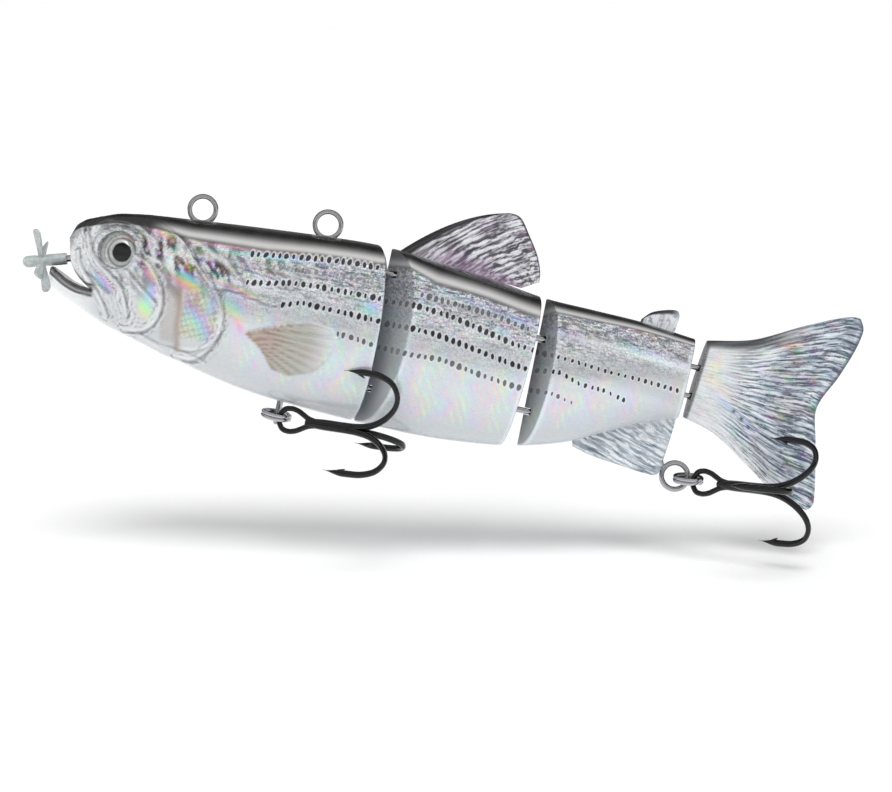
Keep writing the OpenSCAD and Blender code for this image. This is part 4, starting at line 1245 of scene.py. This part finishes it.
def build_trunks():
    blocks, room, spread = (5.4, 2.8), 1.85, 2
    left = half_section(
        "front_trunk_skin_left", FRONT_TRUNK_FRONT, FRONT_TRUNK_REAR, blocks, 90, 110, (0.25, 0.25),
    )
    cut_link_slots(left, FRONT_PIVOT, (-3.5, -21.3), room, spread)
    finish_section(left, "front_trunk_skin_right", "front_trunk", FRONT_TRUNK_NODES)

    left = half_section(
        "rear_trunk_skin_left", REAR_TRUNK_FRONT, REAR_TRUNK_REAR, blocks, 90, 100, (0.25, 0.2),
    )
    cut_link_slots(left, MIDDLE_PIVOT, (-8.2, -19.5), room, spread)
    finish_section(left, "rear_trunk_skin_right", "rear_trunk", REAR_TRUNK_NODES)


# ---------- fins ----------


def closed_sheet(name, places, near, far, materials, smooth_angle, root_index=0):
    """A closed sheet over a grid of (x, z) places, between two depths in Y.

    Its strip along the root takes the material at root_index.
    """
    rows, columns = places.shape[:2]
    count = rows * columns
    x, z = places[..., 0], places[..., 1]
    points = np.concatenate([np.stack([x, y, z], -1).reshape(-1, 3) for y in (near, far)])
    faces = grid_faces(rows, columns) + grid_faces(rows, columns, count, flip=True)
    rim = list(range(columns - 1))
    rim += [i * columns + columns - 1 for i in range(rows - 1)]
    rim += [(rows - 1) * columns + j for j in range(columns - 1, 0, -1)]
    rim += [i * columns for i in range(rows - 1, 0, -1)]
    indices = [0] * (len(faces) + len(rim))
    indices[len(faces):len(faces) + columns - 1] = [root_index] * (columns - 1)
    faces += [(a, b, b + count, a + count) for a, b in zip(rim, rim[1:] + rim[:1])]
    return new_object(name, points, faces, materials, smooth_angle, indices, steps=(turn_outwards,))


def fin_sheet(name, places, thickness, colour, grain, ray, reach, body, nodes):
    """A fin of that half thickness at each place, printed alike on both sides."""
    obj = closed_sheet(name, places, -thickness, thickness, [FIN_SKIN], 60)
    both = {"grain": grain, "ray": ray, "reach": reach}
    set_print(
        obj, np.concatenate([colour.reshape(-1, 3)] * 2),
        **{key: np.concatenate([value.ravel()] * 2) for key, value in both.items()},
    )
    attach(obj, body, nodes)


def spread_grid(us, vs):
    """Two grids: u changes from row to row, and v from column to column."""
    return us[:, None] + 0 * vs[None], vs[None] + 0 * us[:, None]


def mix(a, b, t):
    return a * (1 - t) + b * t


def fin_grid(base, outer, bow, rows, columns):
    """Places from a base line to an outer line, each ray bowed upwards."""
    vs = np.linspace(0, 1, columns)
    u, v = spread_grid(np.linspace(0, 1, rows), vs)
    places = mix(resample(base, vs)[None], resample(outer, vs)[None], u[..., None])
    places[..., 1] += line(bow, v) * 4 * u * (1 - u)
    return u, v, places


def resample(points, shares):
    """Points at shares of a smooth polyline's length."""
    dense = rounded(points, 12)
    steps = np.concatenate([[0], np.cumsum(np.linalg.norm(np.diff(dense, axis=0), axis=1))])
    steps /= steps[-1]
    return np.stack([np.interp(shares, steps, dense[:, k]) for k in range(2)], -1)


def ray_pattern(u, v, count, seed):
    """1 on a fin's rays and 0 between them: wavy, uneven, and broken in places."""
    drift = cloud(u * 2.2, 0 * u, v * 5, 1.0, seed, 2)
    phase = v * count + 0.75 * drift + 0.25 * cloud(u * 9, 0 * u, v * 4, 1.0, seed + 3, 2)
    wires = 0.5 + 0.5 * np.sin(2 * math.pi * phase)
    split = 0.5 + 0.5 * np.sin(2 * math.pi * (phase * 2 + 0.3) + 3 * drift)
    wires = wires * (1 - 0.45 * between(0.3, 0.8, u)) + split * 0.45 * between(0.3, 0.8, u)
    patchy = cloud(u * 6, 0 * u, v * count * 0.8, 1.0, seed + 5, 3)
    return np.clip(wires + 0.55 * patchy, 0, 1)


def build_dorsal():
    base = [(50.4, -1.2), (45, -0.9), (38, -0.6), (30.75, 0.1)]
    outer = [(52.9, 0.25), (52.7, 1.9), (51.7, 4.3), (49.8, 7.1), (48.1, 9.25), (46.4, 9.68), (44.4, 9.2)]
    u, v, places = fin_grid(base, outer, [(0, 0.0), (0.5, 0.9), (1, 1.25)], 110, 96)
    x, z = places[..., 0], places[..., 1]
    wave = cloud(x, 0 * x, z, 3.0, 2.0)
    fine = cloud(u * 8, 0 * x, v * 60, 1.6, 5.0)
    rays = ray_pattern(u, v, 15, 2.0)
    rim = np.minimum(np.minimum(v, 1 - v) * 9, (1 - u) * 12)
    thick = (0.58 - 0.3 * u) * np.clip(0.35 + rim, 0, 1) + 0.08 * rays * np.clip(rim, 0, 1)
    lead = between(0.895, 0.925, v)
    thick = np.clip(thick + 0.16 * lead, 0.16, 0.6)
    colour = over((0.26, 0.24, 0.28), (0.8, 0.8, 0.84), between(0.35, 0.85, rays + 0.35 * fine))
    gaps = between(0.3, 0.75, 1 - rays + 0.5 * wave) * between(0.05, 0.25, u)
    colour = over(colour, (0.03, 0.02, 0.035), 0.85 * gaps)
    colour = over(colour, (0.3, 0.12, 0.3), 0.5 * between(0.3, 0.1, u) * between(0.9, 0.6, v))
    colour = over(colour, (0.7, 0.5, 0.68), 0.35 * between(0.1, 0.6, wave))
    colour = over(colour, (0.01, 0.01, 0.012), np.maximum(lead, 0.95 * between(0.965, 0.985, u)))
    grain = 0.65 * (1 - lead) * between(1, 0.96, u)
    fin_sheet("dorsal_fin", places, thick, colour, grain, v * 14, u * 11, "front_trunk", FRONT_TRUNK_NODES)


def build_adipose():
    base = [(74.8, -3.3), (72, -3.0), (69.3, -2.7)]
    outer = [(75.05, -1.0), (75.1, -0.1), (74.5, 0.58), (72.8, 0.3), (70.8, -0.5), (69.5, -1.8)]
    u, v, places = fin_grid(base, outer, [(0, 0.0), (1, 0.0)], 30, 40)
    x, z = places[..., 0], places[..., 1]
    wave = cloud(x, 0 * x, z, 0.8, 8.0)
    edge = np.maximum(between(0.74, 0.86, u), between(0.88, 0.96, v))
    thick = 0.48 - 0.28 * u**3
    colour = over((0.7, 0.73, 0.76), (0.3, 0.32, 0.36), between(0.1, 0.6, wave))
    colour = over(colour, (0.02, 0.02, 0.025), edge * between(0.0, 0.35, v))
    grain = 0.4 * (1 - edge)
    fin_sheet("adipose_fin", places, thick, colour, grain, v * 6, u * 3, "rear_trunk", REAR_TRUNK_NODES)


def build_anal():
    base = [(63.0, -21.9), (66, -19.9), (70, -17.9), (74, -16.4), (77.9, -15.5)]
    outer = [
        (63.3, -23.2), (66.2, -23.95), (70, -24.4), (74.6, -24.85), (77.0, -24.55), (77.5, -21.5),
        (77.9, -17.2),
    ]
    u, v, places = fin_grid(base, outer, [(0, 0.0), (0.5, -0.35), (1, 0.0)], 90, 96)
    x, z = places[..., 0], places[..., 1]
    fine = cloud(u * 9, 0 * x, v * 70, 1.5, 9.0)
    # The rays lean back, nearly along the fin's lower edge.
    slope = 0.28 * x + 0.96 * z
    rays = ray_pattern((x - 63) / 15, (slope + 3.5) / 10.4, 12, 4.0)
    rim = np.minimum(v * 9, (1 - u) * 12)
    thick = (0.6 - 0.26 * u) * np.clip(0.35 + rim, 0, 1) - 0.1 * (1 - rays) * np.clip(rim, 0, 1)
    thick = np.clip(thick, 0.16, 0.6)
    stem, _ = polyline_distance([(77.2, -23.9), (75.2, -18.6)], x, z)
    thick = np.maximum(thick, 0.5 * between(1.0, 0.3, stem))
    colour = over((0.42, 0.49, 0.55), (0.84, 0.88, 0.91), between(0.3, 0.9, rays + 0.3 * fine))
    colour = over(colour, (0.2, 0.26, 0.32), 0.6 * between(0.5, 0.95, 1 - rays + 0.4 * fine))
    colour = over(colour, (0.3, 0.38, 0.44), 0.6 * between(0.9, 1, u))
    colour = over(colour, (0.8, 0.82, 0.84), 0.7 * between(0.16, 0.02, u))
    fin_sheet("anal_fin", places, thick, colour, 0.6 + 0 * u, slope, x, "rear_trunk", REAR_TRUNK_NODES)


TAIL_UPPER = [(80.05, -2.9), (87, -1.2), (94.5, 2.7), (100.7, 5.4), (103.5, 5.4)]
TAIL_LOWER = [(79.0, -15.2), (84.3, -16.7), (90, -20.2), (95.5, -23.6), (101.7, -25.4)]
TAIL_FORK = [(0, 0), (0.18, 1.2), (0.36, 2.7), (0.52, 3.9), (0.7, 1.9), (0.86, 0.5), (1, 0)]


def tail_places(u, v):
    """The tail's outline patch, u from root to trailing edge and v from below to above."""
    u = u * (1 - 0.05 * np.clip((np.abs(2 * v - 1) - 0.86) / 0.14, 0, 1) ** 2)
    u, v = u[..., None], v[..., None]

    def along(stations):
        p = np.asarray(stations, float)
        x = p[0, 0] + (p[-1, 0] - p[0, 0]) * u
        return np.concatenate([x, curve(stations, x)], -1)

    def fork(share):
        tips = mix(np.array(TAIL_LOWER[-1]), np.array(TAIL_UPPER[-1]), share)
        return tips - np.concatenate([curve(TAIL_FORK, share), 0 * share], -1)

    root_low, root_high = np.array(TAIL_LOWER[0]), np.array(TAIL_UPPER[0])
    tip_low, tip_high = np.array(TAIL_LOWER[-1]), np.array(TAIL_UPPER[-1])
    between_sides = mix(along(TAIL_LOWER), along(TAIL_UPPER), v)
    between_ends = mix(mix(root_low, root_high, v), fork(v), u)
    return between_sides + between_ends - mix(mix(root_low, tip_low, u), mix(root_high, tip_high, u), v)


def build_tail():
    """Left half with rayed relief, its slots for the link loops, and its right twin."""
    u, v = spread_grid(np.linspace(0, 1, 150) ** 1.15, np.linspace(0, 1, 130))
    stump = (1 - u) ** 4 * np.maximum(np.sin(math.pi * v), 0) ** 0.6
    thick = 2.6 * stump + 0.28 + 0.2 * (1 - u) + 0.35 * (1 - u) * np.sin(math.pi * v)
    rays = tail_rays(u, v)
    onset = between(0.12, 0.4, u)
    rim = np.clip(np.minimum(np.minimum(v, 1 - v) * 14, (1 - u) * 16), 0, 1)
    thick = thick + onset * rim * 0.09 * (rays - 0.6) - 0.1 * (1 - rim) * onset
    thick = np.maximum(thick, 0.14)
    left = closed_sheet(
        "tail_skin_left", tail_places(u, v), -thick, 0 * u, [FIN_SKIN, BLACK, HOLLOW], 50, root_index=1,
    )
    cut_link_slots(left, TAIL_PIVOT, (-7.3, -11.8), 1.62, 1.4)
    shade(left, 50)
    print_tail(left)
    right = mirrored_copy(left, "tail_skin_right")
    attach(left, "tail", ["tail_left"])
    attach(right, "tail", ["tail_right"])


def tail_rays(u, v):
    return ray_pattern(u, v, 27, 6.0)


def tail_shares(x, z):
    """The (u, v) of a place on the tail, found by stepping towards it."""
    u, v = np.clip((x - 79.5) / 21, 0, 1), np.full_like(x, 0.5)
    for _ in range(12):
        u_low, u_high = np.clip(u - 0.01, 0, 1), np.clip(u + 0.01, 0, 1)
        v_low, v_high = np.clip(v - 0.01, 0, 1), np.clip(v + 0.01, 0, 1)
        du = (tail_places(u_high, v) - tail_places(u_low, v)) / (u_high - u_low)[..., None]
        dv = (tail_places(u, v_high) - tail_places(u, v_low)) / (v_high - v_low)[..., None]
        miss = np.stack([x, z], -1) - tail_places(u, v)
        area = du[..., 0] * dv[..., 1] - du[..., 1] * dv[..., 0]
        u = np.clip(u + (miss[..., 0] * dv[..., 1] - miss[..., 1] * dv[..., 0]) / area, 0, 1)
        v = np.clip(v + (du[..., 0] * miss[..., 1] - du[..., 1] * miss[..., 0]) / area, 0, 1)
    return u, v


def print_tail(obj):
    x, _, z = (vectors_of(obj, "co") / MM).T
    u, v = tail_shares(x, z)
    blot = cloud(x, 0 * x, z, 2.2, 14.0)
    fine = cloud(u * 12, 0 * x, v * 120, 2.0, 17.0)
    rays = tail_rays(u, v)
    onset = between(0.1, 0.42, u)
    colour = over((0.74, 0.77, 0.79), (0.5, 0.57, 0.64), between(0.3, 0.8, u))
    colour = over(colour, (0.2, 0.27, 0.36), onset * between(0.35, 0.85, 1 - rays + 0.4 * fine))
    colour = over(colour, (0.84, 0.88, 0.92), onset * between(0.7, 1.1, rays + 0.3 * fine))
    outward = between(0.4, 0.85, u + 0.12 * blot) * between(0.25, 0.8, 1 - rays + 0.3 * blot)
    colour = over(colour, (0.07, 0.09, 0.13), 0.9 * outward)
    colour = over(colour, (0.08, 0.09, 0.13), 0.85 * between(0.97, 0.99, u) * between(0.3, 0.6, v))
    # Foil colours on the stump and among the rays.
    sheen = rainbow(x / 7 + z / 5 + 0.4 * blot)
    colour = over(colour, sheen, 0.16 * between(0.0, 0.6, blot))
    for px, pz, length, height, tilt, tint, strength in [
        (81.9, -6.4, 1.2, 1.1, 0, (0.9, 0.85, 0.4), 0.5),
        (81.9, -8.8, 1.3, 0.9, 0, (0.9, 0.8, 0.5), 0.5),
        (84.0, -10.0, 2.5, 1.2, -20, (0.86, 0.7, 0.66), 0.4),
        (92.9, -0.7, 1.8, 0.6, 22, (0.45, 0.16, 0.06), 0.75),
        (94.2, -3.2, 1.2, 0.5, 10, (0.45, 0.2, 0.1), 0.5),
        (93.6, -5.2, 1.8, 0.5, 0, (0.35, 0.22, 0.2), 0.5),
        (93.0, -7.0, 2.2, 0.5, -8, (0.5, 0.4, 0.62), 0.4),
        (85.0, -11.9, 2.6, 0.5, -28, (0.4, 0.62, 0.95), 0.6),
        (88.9, -14.3, 1.4, 0.45, -38, (0.35, 0.5, 0.98), 0.65),
        (94.4, -9.9, 2.2, 1.5, -20, (0.72, 0.56, 0.55), 0.35),
        (91.5, -17.6, 3.2, 1.3, -55, (0.3, 0.26, 0.3), 0.5),
        (88.0, -3.4, 3.0, 0.7, 18, (0.6, 0.62, 0.5), 0.3),
    ]:
        colour = over(colour, tint, strength * spot(x, z, px, pz, length, height, tilt))
    for px, pz in [(86.3, -12.6), (87.7, -13.5), (89.0, -14.4)]:
        colour = over(colour, (0.015, 0.015, 0.02), bell(np.hypot(x - px, z - pz), 0.33))
    # Dark top edge near the root, pale lower edge, and painted shade as a dark band at the joint.
    top = between(0.86, 0.95, v) * between(0.8, 0.3, u)
    colour = over(colour, (0.03, 0.03, 0.035), 0.95 * top)
    colour = over(colour, (0.85, 0.87, 0.9), 0.8 * between(0.14, 0.03, v) * between(0.9, 0.6, u))
    colour = over(colour, (0.06, 0.065, 0.075), 0.9 * between(0.035, 0.015, u))
    grain = (0.3 + 0.6 * between(0.15, 0.5, u)) * (1 - top) * between(1, 0.97, u)
    set_print(obj, colour, grain=grain, ray=v * 26, reach=u * 22)


# ---------- eyes ----------


def build_eyes():
    """A dished iris disc and a clear dome over it, each side."""
    shares = np.linspace(1, 0, 27)
    dish = 0.6 - 0.22 * smooth((shares - 0.45) / 0.15) * smooth((1.02 - shares) / 0.2)
    iris_profile = [(0, 0), (EYE_R, 0), *zip(EYE_R * shares, dish)]
    height = 1.3
    ball = (EYE_R**2 + height**2) / (2 * height)
    angles = math.asin(EYE_R / ball) * np.linspace(1, 0, 15)[1:]
    cap = zip(ball * np.sin(angles), height - ball + ball * np.cos(angles))
    dome_profile = [(0, 0), (EYE_R - 0.02, 0), *cap]
    for side, mirror in (("left", Matrix.Identity(4)), ("right", MIRROR)):
        place = mirror @ EYE_PLACE
        iris = lathe("iris_" + side, iris_profile, [IRIS], place @ along_axis(-EYE_DEPTH), around=72)
        paint_iris(iris, place)
        attach(iris, "head", ["eye_iris_" + side])
        dome = lathe(
            "eye_dome_lens_" + side, dome_profile, [DOME], place @ along_axis(0.62 - EYE_DEPTH), around=72,
        )
        attach(dome, "head", ["eye_dome_" + side])


def paint_iris(obj, place):
    """Dark pupil, pale ring, silver iris with fine spokes and a pink blush above."""
    back = place.inverted()
    local = np.array([back @ v.co for v in obj.data.vertices]) / MM
    r = np.hypot(local[:, 0] - 0.45, local[:, 1] + 0.12)
    turn = np.arctan2(local[:, 1], local[:, 0])
    spokes = cloud(np.cos(turn) * 9, np.sin(turn) * 9, r, 1.0, 31.0)
    tone = 0.8 + 0.16 * spokes
    colour = np.stack([tone, tone * 1.01, tone * 1.0], -1)
    blush = bell(turn - 0.95, 0.7) * between(1.6, 2.2, r)
    colour = over(colour, (0.8, 0.5, 0.46), 0.6 * blush)
    colour = over(colour, (0.16, 0.17, 0.17), 0.7 * bell(r - 2.62, 0.1))
    colour = over(colour, (0.1, 0.12, 0.11), 0.8 * bell(r - 2.0, 0.16))
    colour = over(colour, (0.62, 0.68, 0.66), 0.9 * between(1.9, 1.7, r))
    colour = over(colour, (0.002, 0.003, 0.004), between(1.42, 1.32, r))
    set_print(obj, colour, grain=0.25 * between(1.9, 2.2, r))


# ---------- propeller ----------


def build_drive():
    # Hub and sleeve in one piece, with a bead at each end.
    profile = [
        (0.5, -6.1), (0.86, -6.1), (0.9, -6.0), (0.9, -5.75), (0.84, -5.65), (0.84, -4.1), (0.9, -4.0),
        (0.9, -1.15), (0.86, -1.0), (0.5, -1.0), (0.5, -3.5), (0.5, -6.1),
    ]
    hub = lathe("propeller_hub", profile, [CLEAR], SHAFT_PLACE, around=40)
    attach(hub, "drive", ["propeller"])
    profile = [(0.9 * math.sin(t), -6.95 - 0.9 * math.cos(t)) for t in np.linspace(0, math.pi / 2, 10)]
    profile += [(0.9, -6.2), (0.86, -6.1), (0.0, -6.1)]
    cap = lathe("propeller_nose", profile, [CLEAR], SHAFT_PLACE, around=40)
    attach(cap, "drive", ["propeller_cap"])
    for k in range(4):
        blade = propeller_blade("propeller_blade_%d" % (k + 1))
        turn = Matrix.Rotation(math.radians(32 + 90 * k), 4, "Z")
        blade.data.transform(SHAFT_PLACE @ along_axis(-4.9) @ turn)
        attach(blade, "drive", ["propeller"])


def propeller_blade(name):
    """A cambered paddle along +X: twisted, thicker at its root, with rounded edges."""
    rows, around = 26, 20
    points = []
    for i in range(rows):
        s = i / (rows - 1)
        reach = 0.7 + 4.8 * s
        tip = math.sqrt(max(1 - max((s - 0.84) / 0.16, 0) ** 2, 0.0004))
        half = (0.5 + 0.38 * smooth(s * 1.1)) * tip
        thick = (0.27 - 0.1 * s) * (0.35 + 0.65 * tip)
        pitch = math.radians(58 - 14 * s)
        for k in range(around):
            turn = 2 * math.pi * k / around
            w = half * math.copysign(abs(math.cos(turn)) ** 0.8, math.cos(turn))
            t = thick * math.sin(turn) + 0.14 * (1 - (w / max(half, 1e-6)) ** 2) * s
            c, s = math.cos(pitch), math.sin(pitch)
            points.append((reach, w * c - t * s, w * s + t * c))
    return new_object(name, points, capped_tube(rows, around), [CLEAR], 50)


def build_bush():
    profile = [(0.56, 0.0), (1.2, 0.0), (1.34, 0.12), (1.34, 3.9), (0.56, 3.9), (0.56, 0.0)]
    bush = lathe("nose_bush", profile, [BLACK], SHAFT_PLACE, around=40)
    attach(bush, "head", ["shaft_bush"])


# ---------- rings and hooks ----------

RING_R = 2.1
RING_TILT = 10
TAIL_RING_TILT = 14
TAIL_RING_YAW = 36
BELLY_HOOK_TURN = 32
EYE_TO_RING = 0.55
BELLY_CROSS = np.array([18.0, 0, -28.0])
TAIL_CROSS = np.array([80.0, 0, -24.3])


def toward(angle, along, across):
    """The direction at that angle from one direction towards another, square to it."""
    t = math.radians(angle)
    return math.cos(t) * np.array(along) + math.sin(t) * np.array(across)


BELLY_DOWN = toward(RING_TILT, (0, -1, 0), (0, 0, -1))
BELLY_CENTRE = BELLY_CROSS + RING_R * BELLY_DOWN
BELLY_HOOK = BELLY_CENTRE + (RING_R + EYE_TO_RING) * toward(BELLY_HOOK_TURN, (1, 0, 0), BELLY_DOWN)
TAIL_OUT = toward(TAIL_RING_YAW, (1, 0, 0), (0, -1, 0))
TAIL_CENTRE = TAIL_CROSS + RING_R * TAIL_OUT
TAIL_HOOK = TAIL_CENTRE + (RING_R + EYE_TO_RING) * TAIL_OUT


def split_ring(name, place, body, node):
    """Two flat turns of springy wire, one on the other, that step across near the ends."""
    turns = np.linspace(0, 2, 151)
    height = -0.27 + 0.54 * smooth((turns - 0.86) / 0.28)
    at = 2 * math.pi * turns
    path = np.stack([RING_R * np.cos(at), RING_R * np.sin(at), height], -1)
    points, faces = tube_mesh(path, 0.28, 12, (0, 0, 1))
    ring = new_object(name, points, faces, [RING], 50)
    ring.data.transform(place)
    attach(ring, body, [node])


def treble(name, place, roll, body, node):
    """Three hooks brazed back to back: forged bends, barbs, needle points and a teardrop eye."""
    parts = []
    arm = rounded([
        (2.6, 0.3), (5, 0.36), (8.4, 0.37), (11.0, 0.5), (13.1, 1.05), (15.0, 2.3), (16.4, 4.1), (16.75, 6.0),
        (15.9, 7.85), (14.1, 8.85), (12.0, 9.1), (10.0, 9.1), (8.15, 9.0),
    ], 8)
    share = np.linspace(0, 1, len(arm))
    radii = 0.52 * (1 - 0.25 * between(0.12, 0.0, share))
    radii = np.maximum(radii * (1 - between(0.86, 1.0, share)), 0.03)
    forged = 1 - 0.22 * bell(share - 0.58, 0.16)
    barb = [(10.35, 9.0), (10.7, 8.72), (11.15, 8.42), (11.5, 8.2)]
    for turn in (0, 120, 240):
        angle = math.radians(roll + turn)
        c, s = math.cos(angle), math.sin(angle)
        up = (0, -c, -s)
        parts.append(tube_mesh([(x, -s * r, c * r) for x, r in arm], radii, 14, up, forged))
        parts.append(tube_mesh([(x, -s * r, c * r) for x, r in barb], [0.3, 0.26, 0.14, 0.03], 10, up))
    # The eye: a loop whose two ends lie along the shank.
    half = [
        (5.4, 0.3), (4.0, 0.36), (2.9, 0.62), (2.0, 1.1), (1.1, 1.55), (0.0, 1.75), (-1.1, 1.4), (-1.75, 0.0),
    ]
    loop = rounded(half + [(x, -z) for x, z in half[-2::-1]], 8)
    parts.append(tube_mesh([(x, 0, z) for x, z in loop], 0.42, 14, (0, 1, 0)))
    # Brazing fills the grooves between the three shanks.
    fill = rounded([(2.5, 0.3), (3.2, 0.62), (5.0, 0.8), (8.5, 0.8), (10.4, 0.66), (11.8, 0.3)], 4)
    parts.append(tube_mesh([(x, 0, 0) for x, _ in fill], fill[:, 1], 18, (0, 1, 0)))
    points, faces = join_meshes(parts)
    hook = new_object(name, points, faces, [HOOK], 50, steps=())
    hook.data.transform(place)
    attach(hook, body, [node])


def build_tackle():
    split_ring("belly_ring_coils", turn_matrix(BELLY_CENTRE, x=RING_TILT), "belly_ring", "belly_split_ring")
    tail_ring_place = turn_matrix(TAIL_CENTRE, x=TAIL_RING_TILT, z=-TAIL_RING_YAW)
    split_ring("tail_ring_coils", tail_ring_place, "tail_ring", "tail_split_ring")
    treble("belly_hook", turn_matrix(BELLY_HOOK, y=-4, z=-14), 17, "belly_hook", "belly_treble")
    treble("tail_hook", turn_matrix(TAIL_HOOK, y=-6, z=-32), -28, "tail_hook", "tail_treble")


# ---------- what the CAD already shapes ----------


def dress_frame():
    slots = {part["node"]: part["material_slot"] for part in frame["record"]["subparts"]}
    for node, obj in frame["nodes"].items():
        obj.data.materials.clear()
        obj.data.materials.append(CARRIED[slots[node]])


# ---------- studio ----------

ROLL = 12.5
TARGET = Vector((42.7, 0, -19.9)) * MM
DISTANCE = 381 * MM
FLOOR_TILT = 10
FLOOR_DROP = 25.5 * MM
FLOOR_SIZE = 3.0
SOFT_LIGHT = 0.62
SUN_POWER = 1.7
SUN_LEAN = 36
# What glossy surfaces see, from level in front (0) over the top (0.5) to level behind (1): a
# softbox ahead of and over the lure, and dark flags above and behind it.
SOFTBOX = [
    (0, 0.4), (0.03, 0.45), (0.07, 1.0), (0.13, 1.0), (0.18, 0.3), (0.26, 0.3), (0.3, 0.95), (0.42, 0.95),
    (0.52, 0.04), (1, 0.04),
]


def axes(x, y, z):
    """The matrix that turns X, Y and Z to those directions."""
    return Matrix((x, y, z)).transposed().to_4x4()


def placed(name, data, matrix):
    obj = bpy.data.objects.new(name, data)
    bpy.context.scene.collection.objects.link(obj)
    obj.matrix_world = matrix
    return obj


def build_studio():
    c, s = math.cos(math.radians(ROLL)), math.sin(math.radians(ROLL))
    right, up, back = Vector((c, 0, s)), Vector((-s, 0, c)), Vector((0, -1, 0))
    build_camera(right, up, back)
    build_floor(right, up, back)
    build_world()
    sun = bpy.data.lights.new("sun", "SUN")
    sun.energy = SUN_POWER
    sun.angle = math.radians(30)
    toward_sun = up * math.cos(math.radians(SUN_LEAN)) + back * math.sin(math.radians(SUN_LEAN))
    lamp = placed("sun", sun, toward_sun.to_track_quat("Z", "Y").to_matrix().to_4x4())
    lamp.visible_glossy = False
    bpy.context.scene.view_settings.view_transform = "Standard"


def build_camera(right, up, back):
    camera = bpy.data.cameras.new("camera")
    camera.lens = 100
    camera.sensor_width = 36
    camera.clip_start = 0.01
    camera.clip_end = 20
    place = Matrix.Translation(TARGET + back * DISTANCE) @ axes(right, up, back)
    bpy.context.scene.camera = placed("camera", camera, place)


def build_floor(right, up, back):
    """A sheet of white paper under the lure, level with the picture and tipped to the eye."""
    tilt = math.radians(FLOOR_TILT)
    normal = up * math.cos(tilt) + back * math.sin(tilt)
    mesh = bpy.data.meshes.new("floor")
    corners = [(-1, -1), (1, -1), (1, 1), (-1, 1)]
    mesh.from_pydata([(x * FLOOR_SIZE, y * FLOOR_SIZE, 0) for x, y in corners], [], [(0, 1, 2, 3)])
    place = Matrix.Translation(TARGET - up * FLOOR_DROP) @ axes(right, normal.cross(right), normal)
    placed("floor", mesh, place)
    # Clear from below, so that it never stands between the lure and a low view from behind.
    n = new_material("floor")
    tone = n.noise(n.place(), 0.01, 2.0)
    below = n.node("ShaderNodeNewGeometry").outputs["Backfacing"]
    mesh.materials.append(n.finish(
        base_color=n.mix(n.span(tone, 0.3, 0.7), (0.95, 0.95, 0.95), (0.97, 0.97, 0.97)),
        roughness=0.9, specular_ior_level=0.1, alpha=n.math("SUBTRACT", 1.0, below),
    ))


def build_world():
    """White to the eye, even for soft light, and a softbox in glossy surfaces."""
    world = bpy.data.worlds.new("studio")
    bpy.context.scene.world = world
    n = Nodes(world)
    rays = n.node("ShaderNodeLightPath").outputs
    at = n.node("ShaderNodeSeparateXYZ", {0: n.node("ShaderNodeTexCoord").outputs["Generated"]}).outputs
    turn = n.math("ARCTAN2", at[2], n.times(at[1], -1))
    ramp = n.node("ShaderNodeValToRGB", {"Fac": n.math("DIVIDE", turn, math.pi)})
    for at_turn, _ in SOFTBOX[1:-1]:
        ramp.color_ramp.elements.new(at_turn)
    for element, (at_turn, tone) in zip(ramp.color_ramp.elements, SOFTBOX):
        element.position = at_turn
        element.color = (tone, tone, tone, 1)
    lit = n.node("ShaderNodeMix", {0: rays["Is Glossy Ray"], 2: SOFT_LIGHT, 3: ramp.outputs["Color"]})
    seen = n.node("ShaderNodeMix", {0: rays["Is Camera Ray"], 2: lit.outputs[0], 3: 1.0})
    background = n.tree.nodes["Background"]
    background.inputs["Color"].default_value = (1, 1, 1, 1)
    n.put(background.inputs["Strength"], seen.outputs[0])


dress_frame()
build_head()
build_trunks()
build_dorsal()
build_adipose()
build_anal()
build_tail()
build_eyes()
build_bush()
build_drive()
build_tackle()
build_studio()
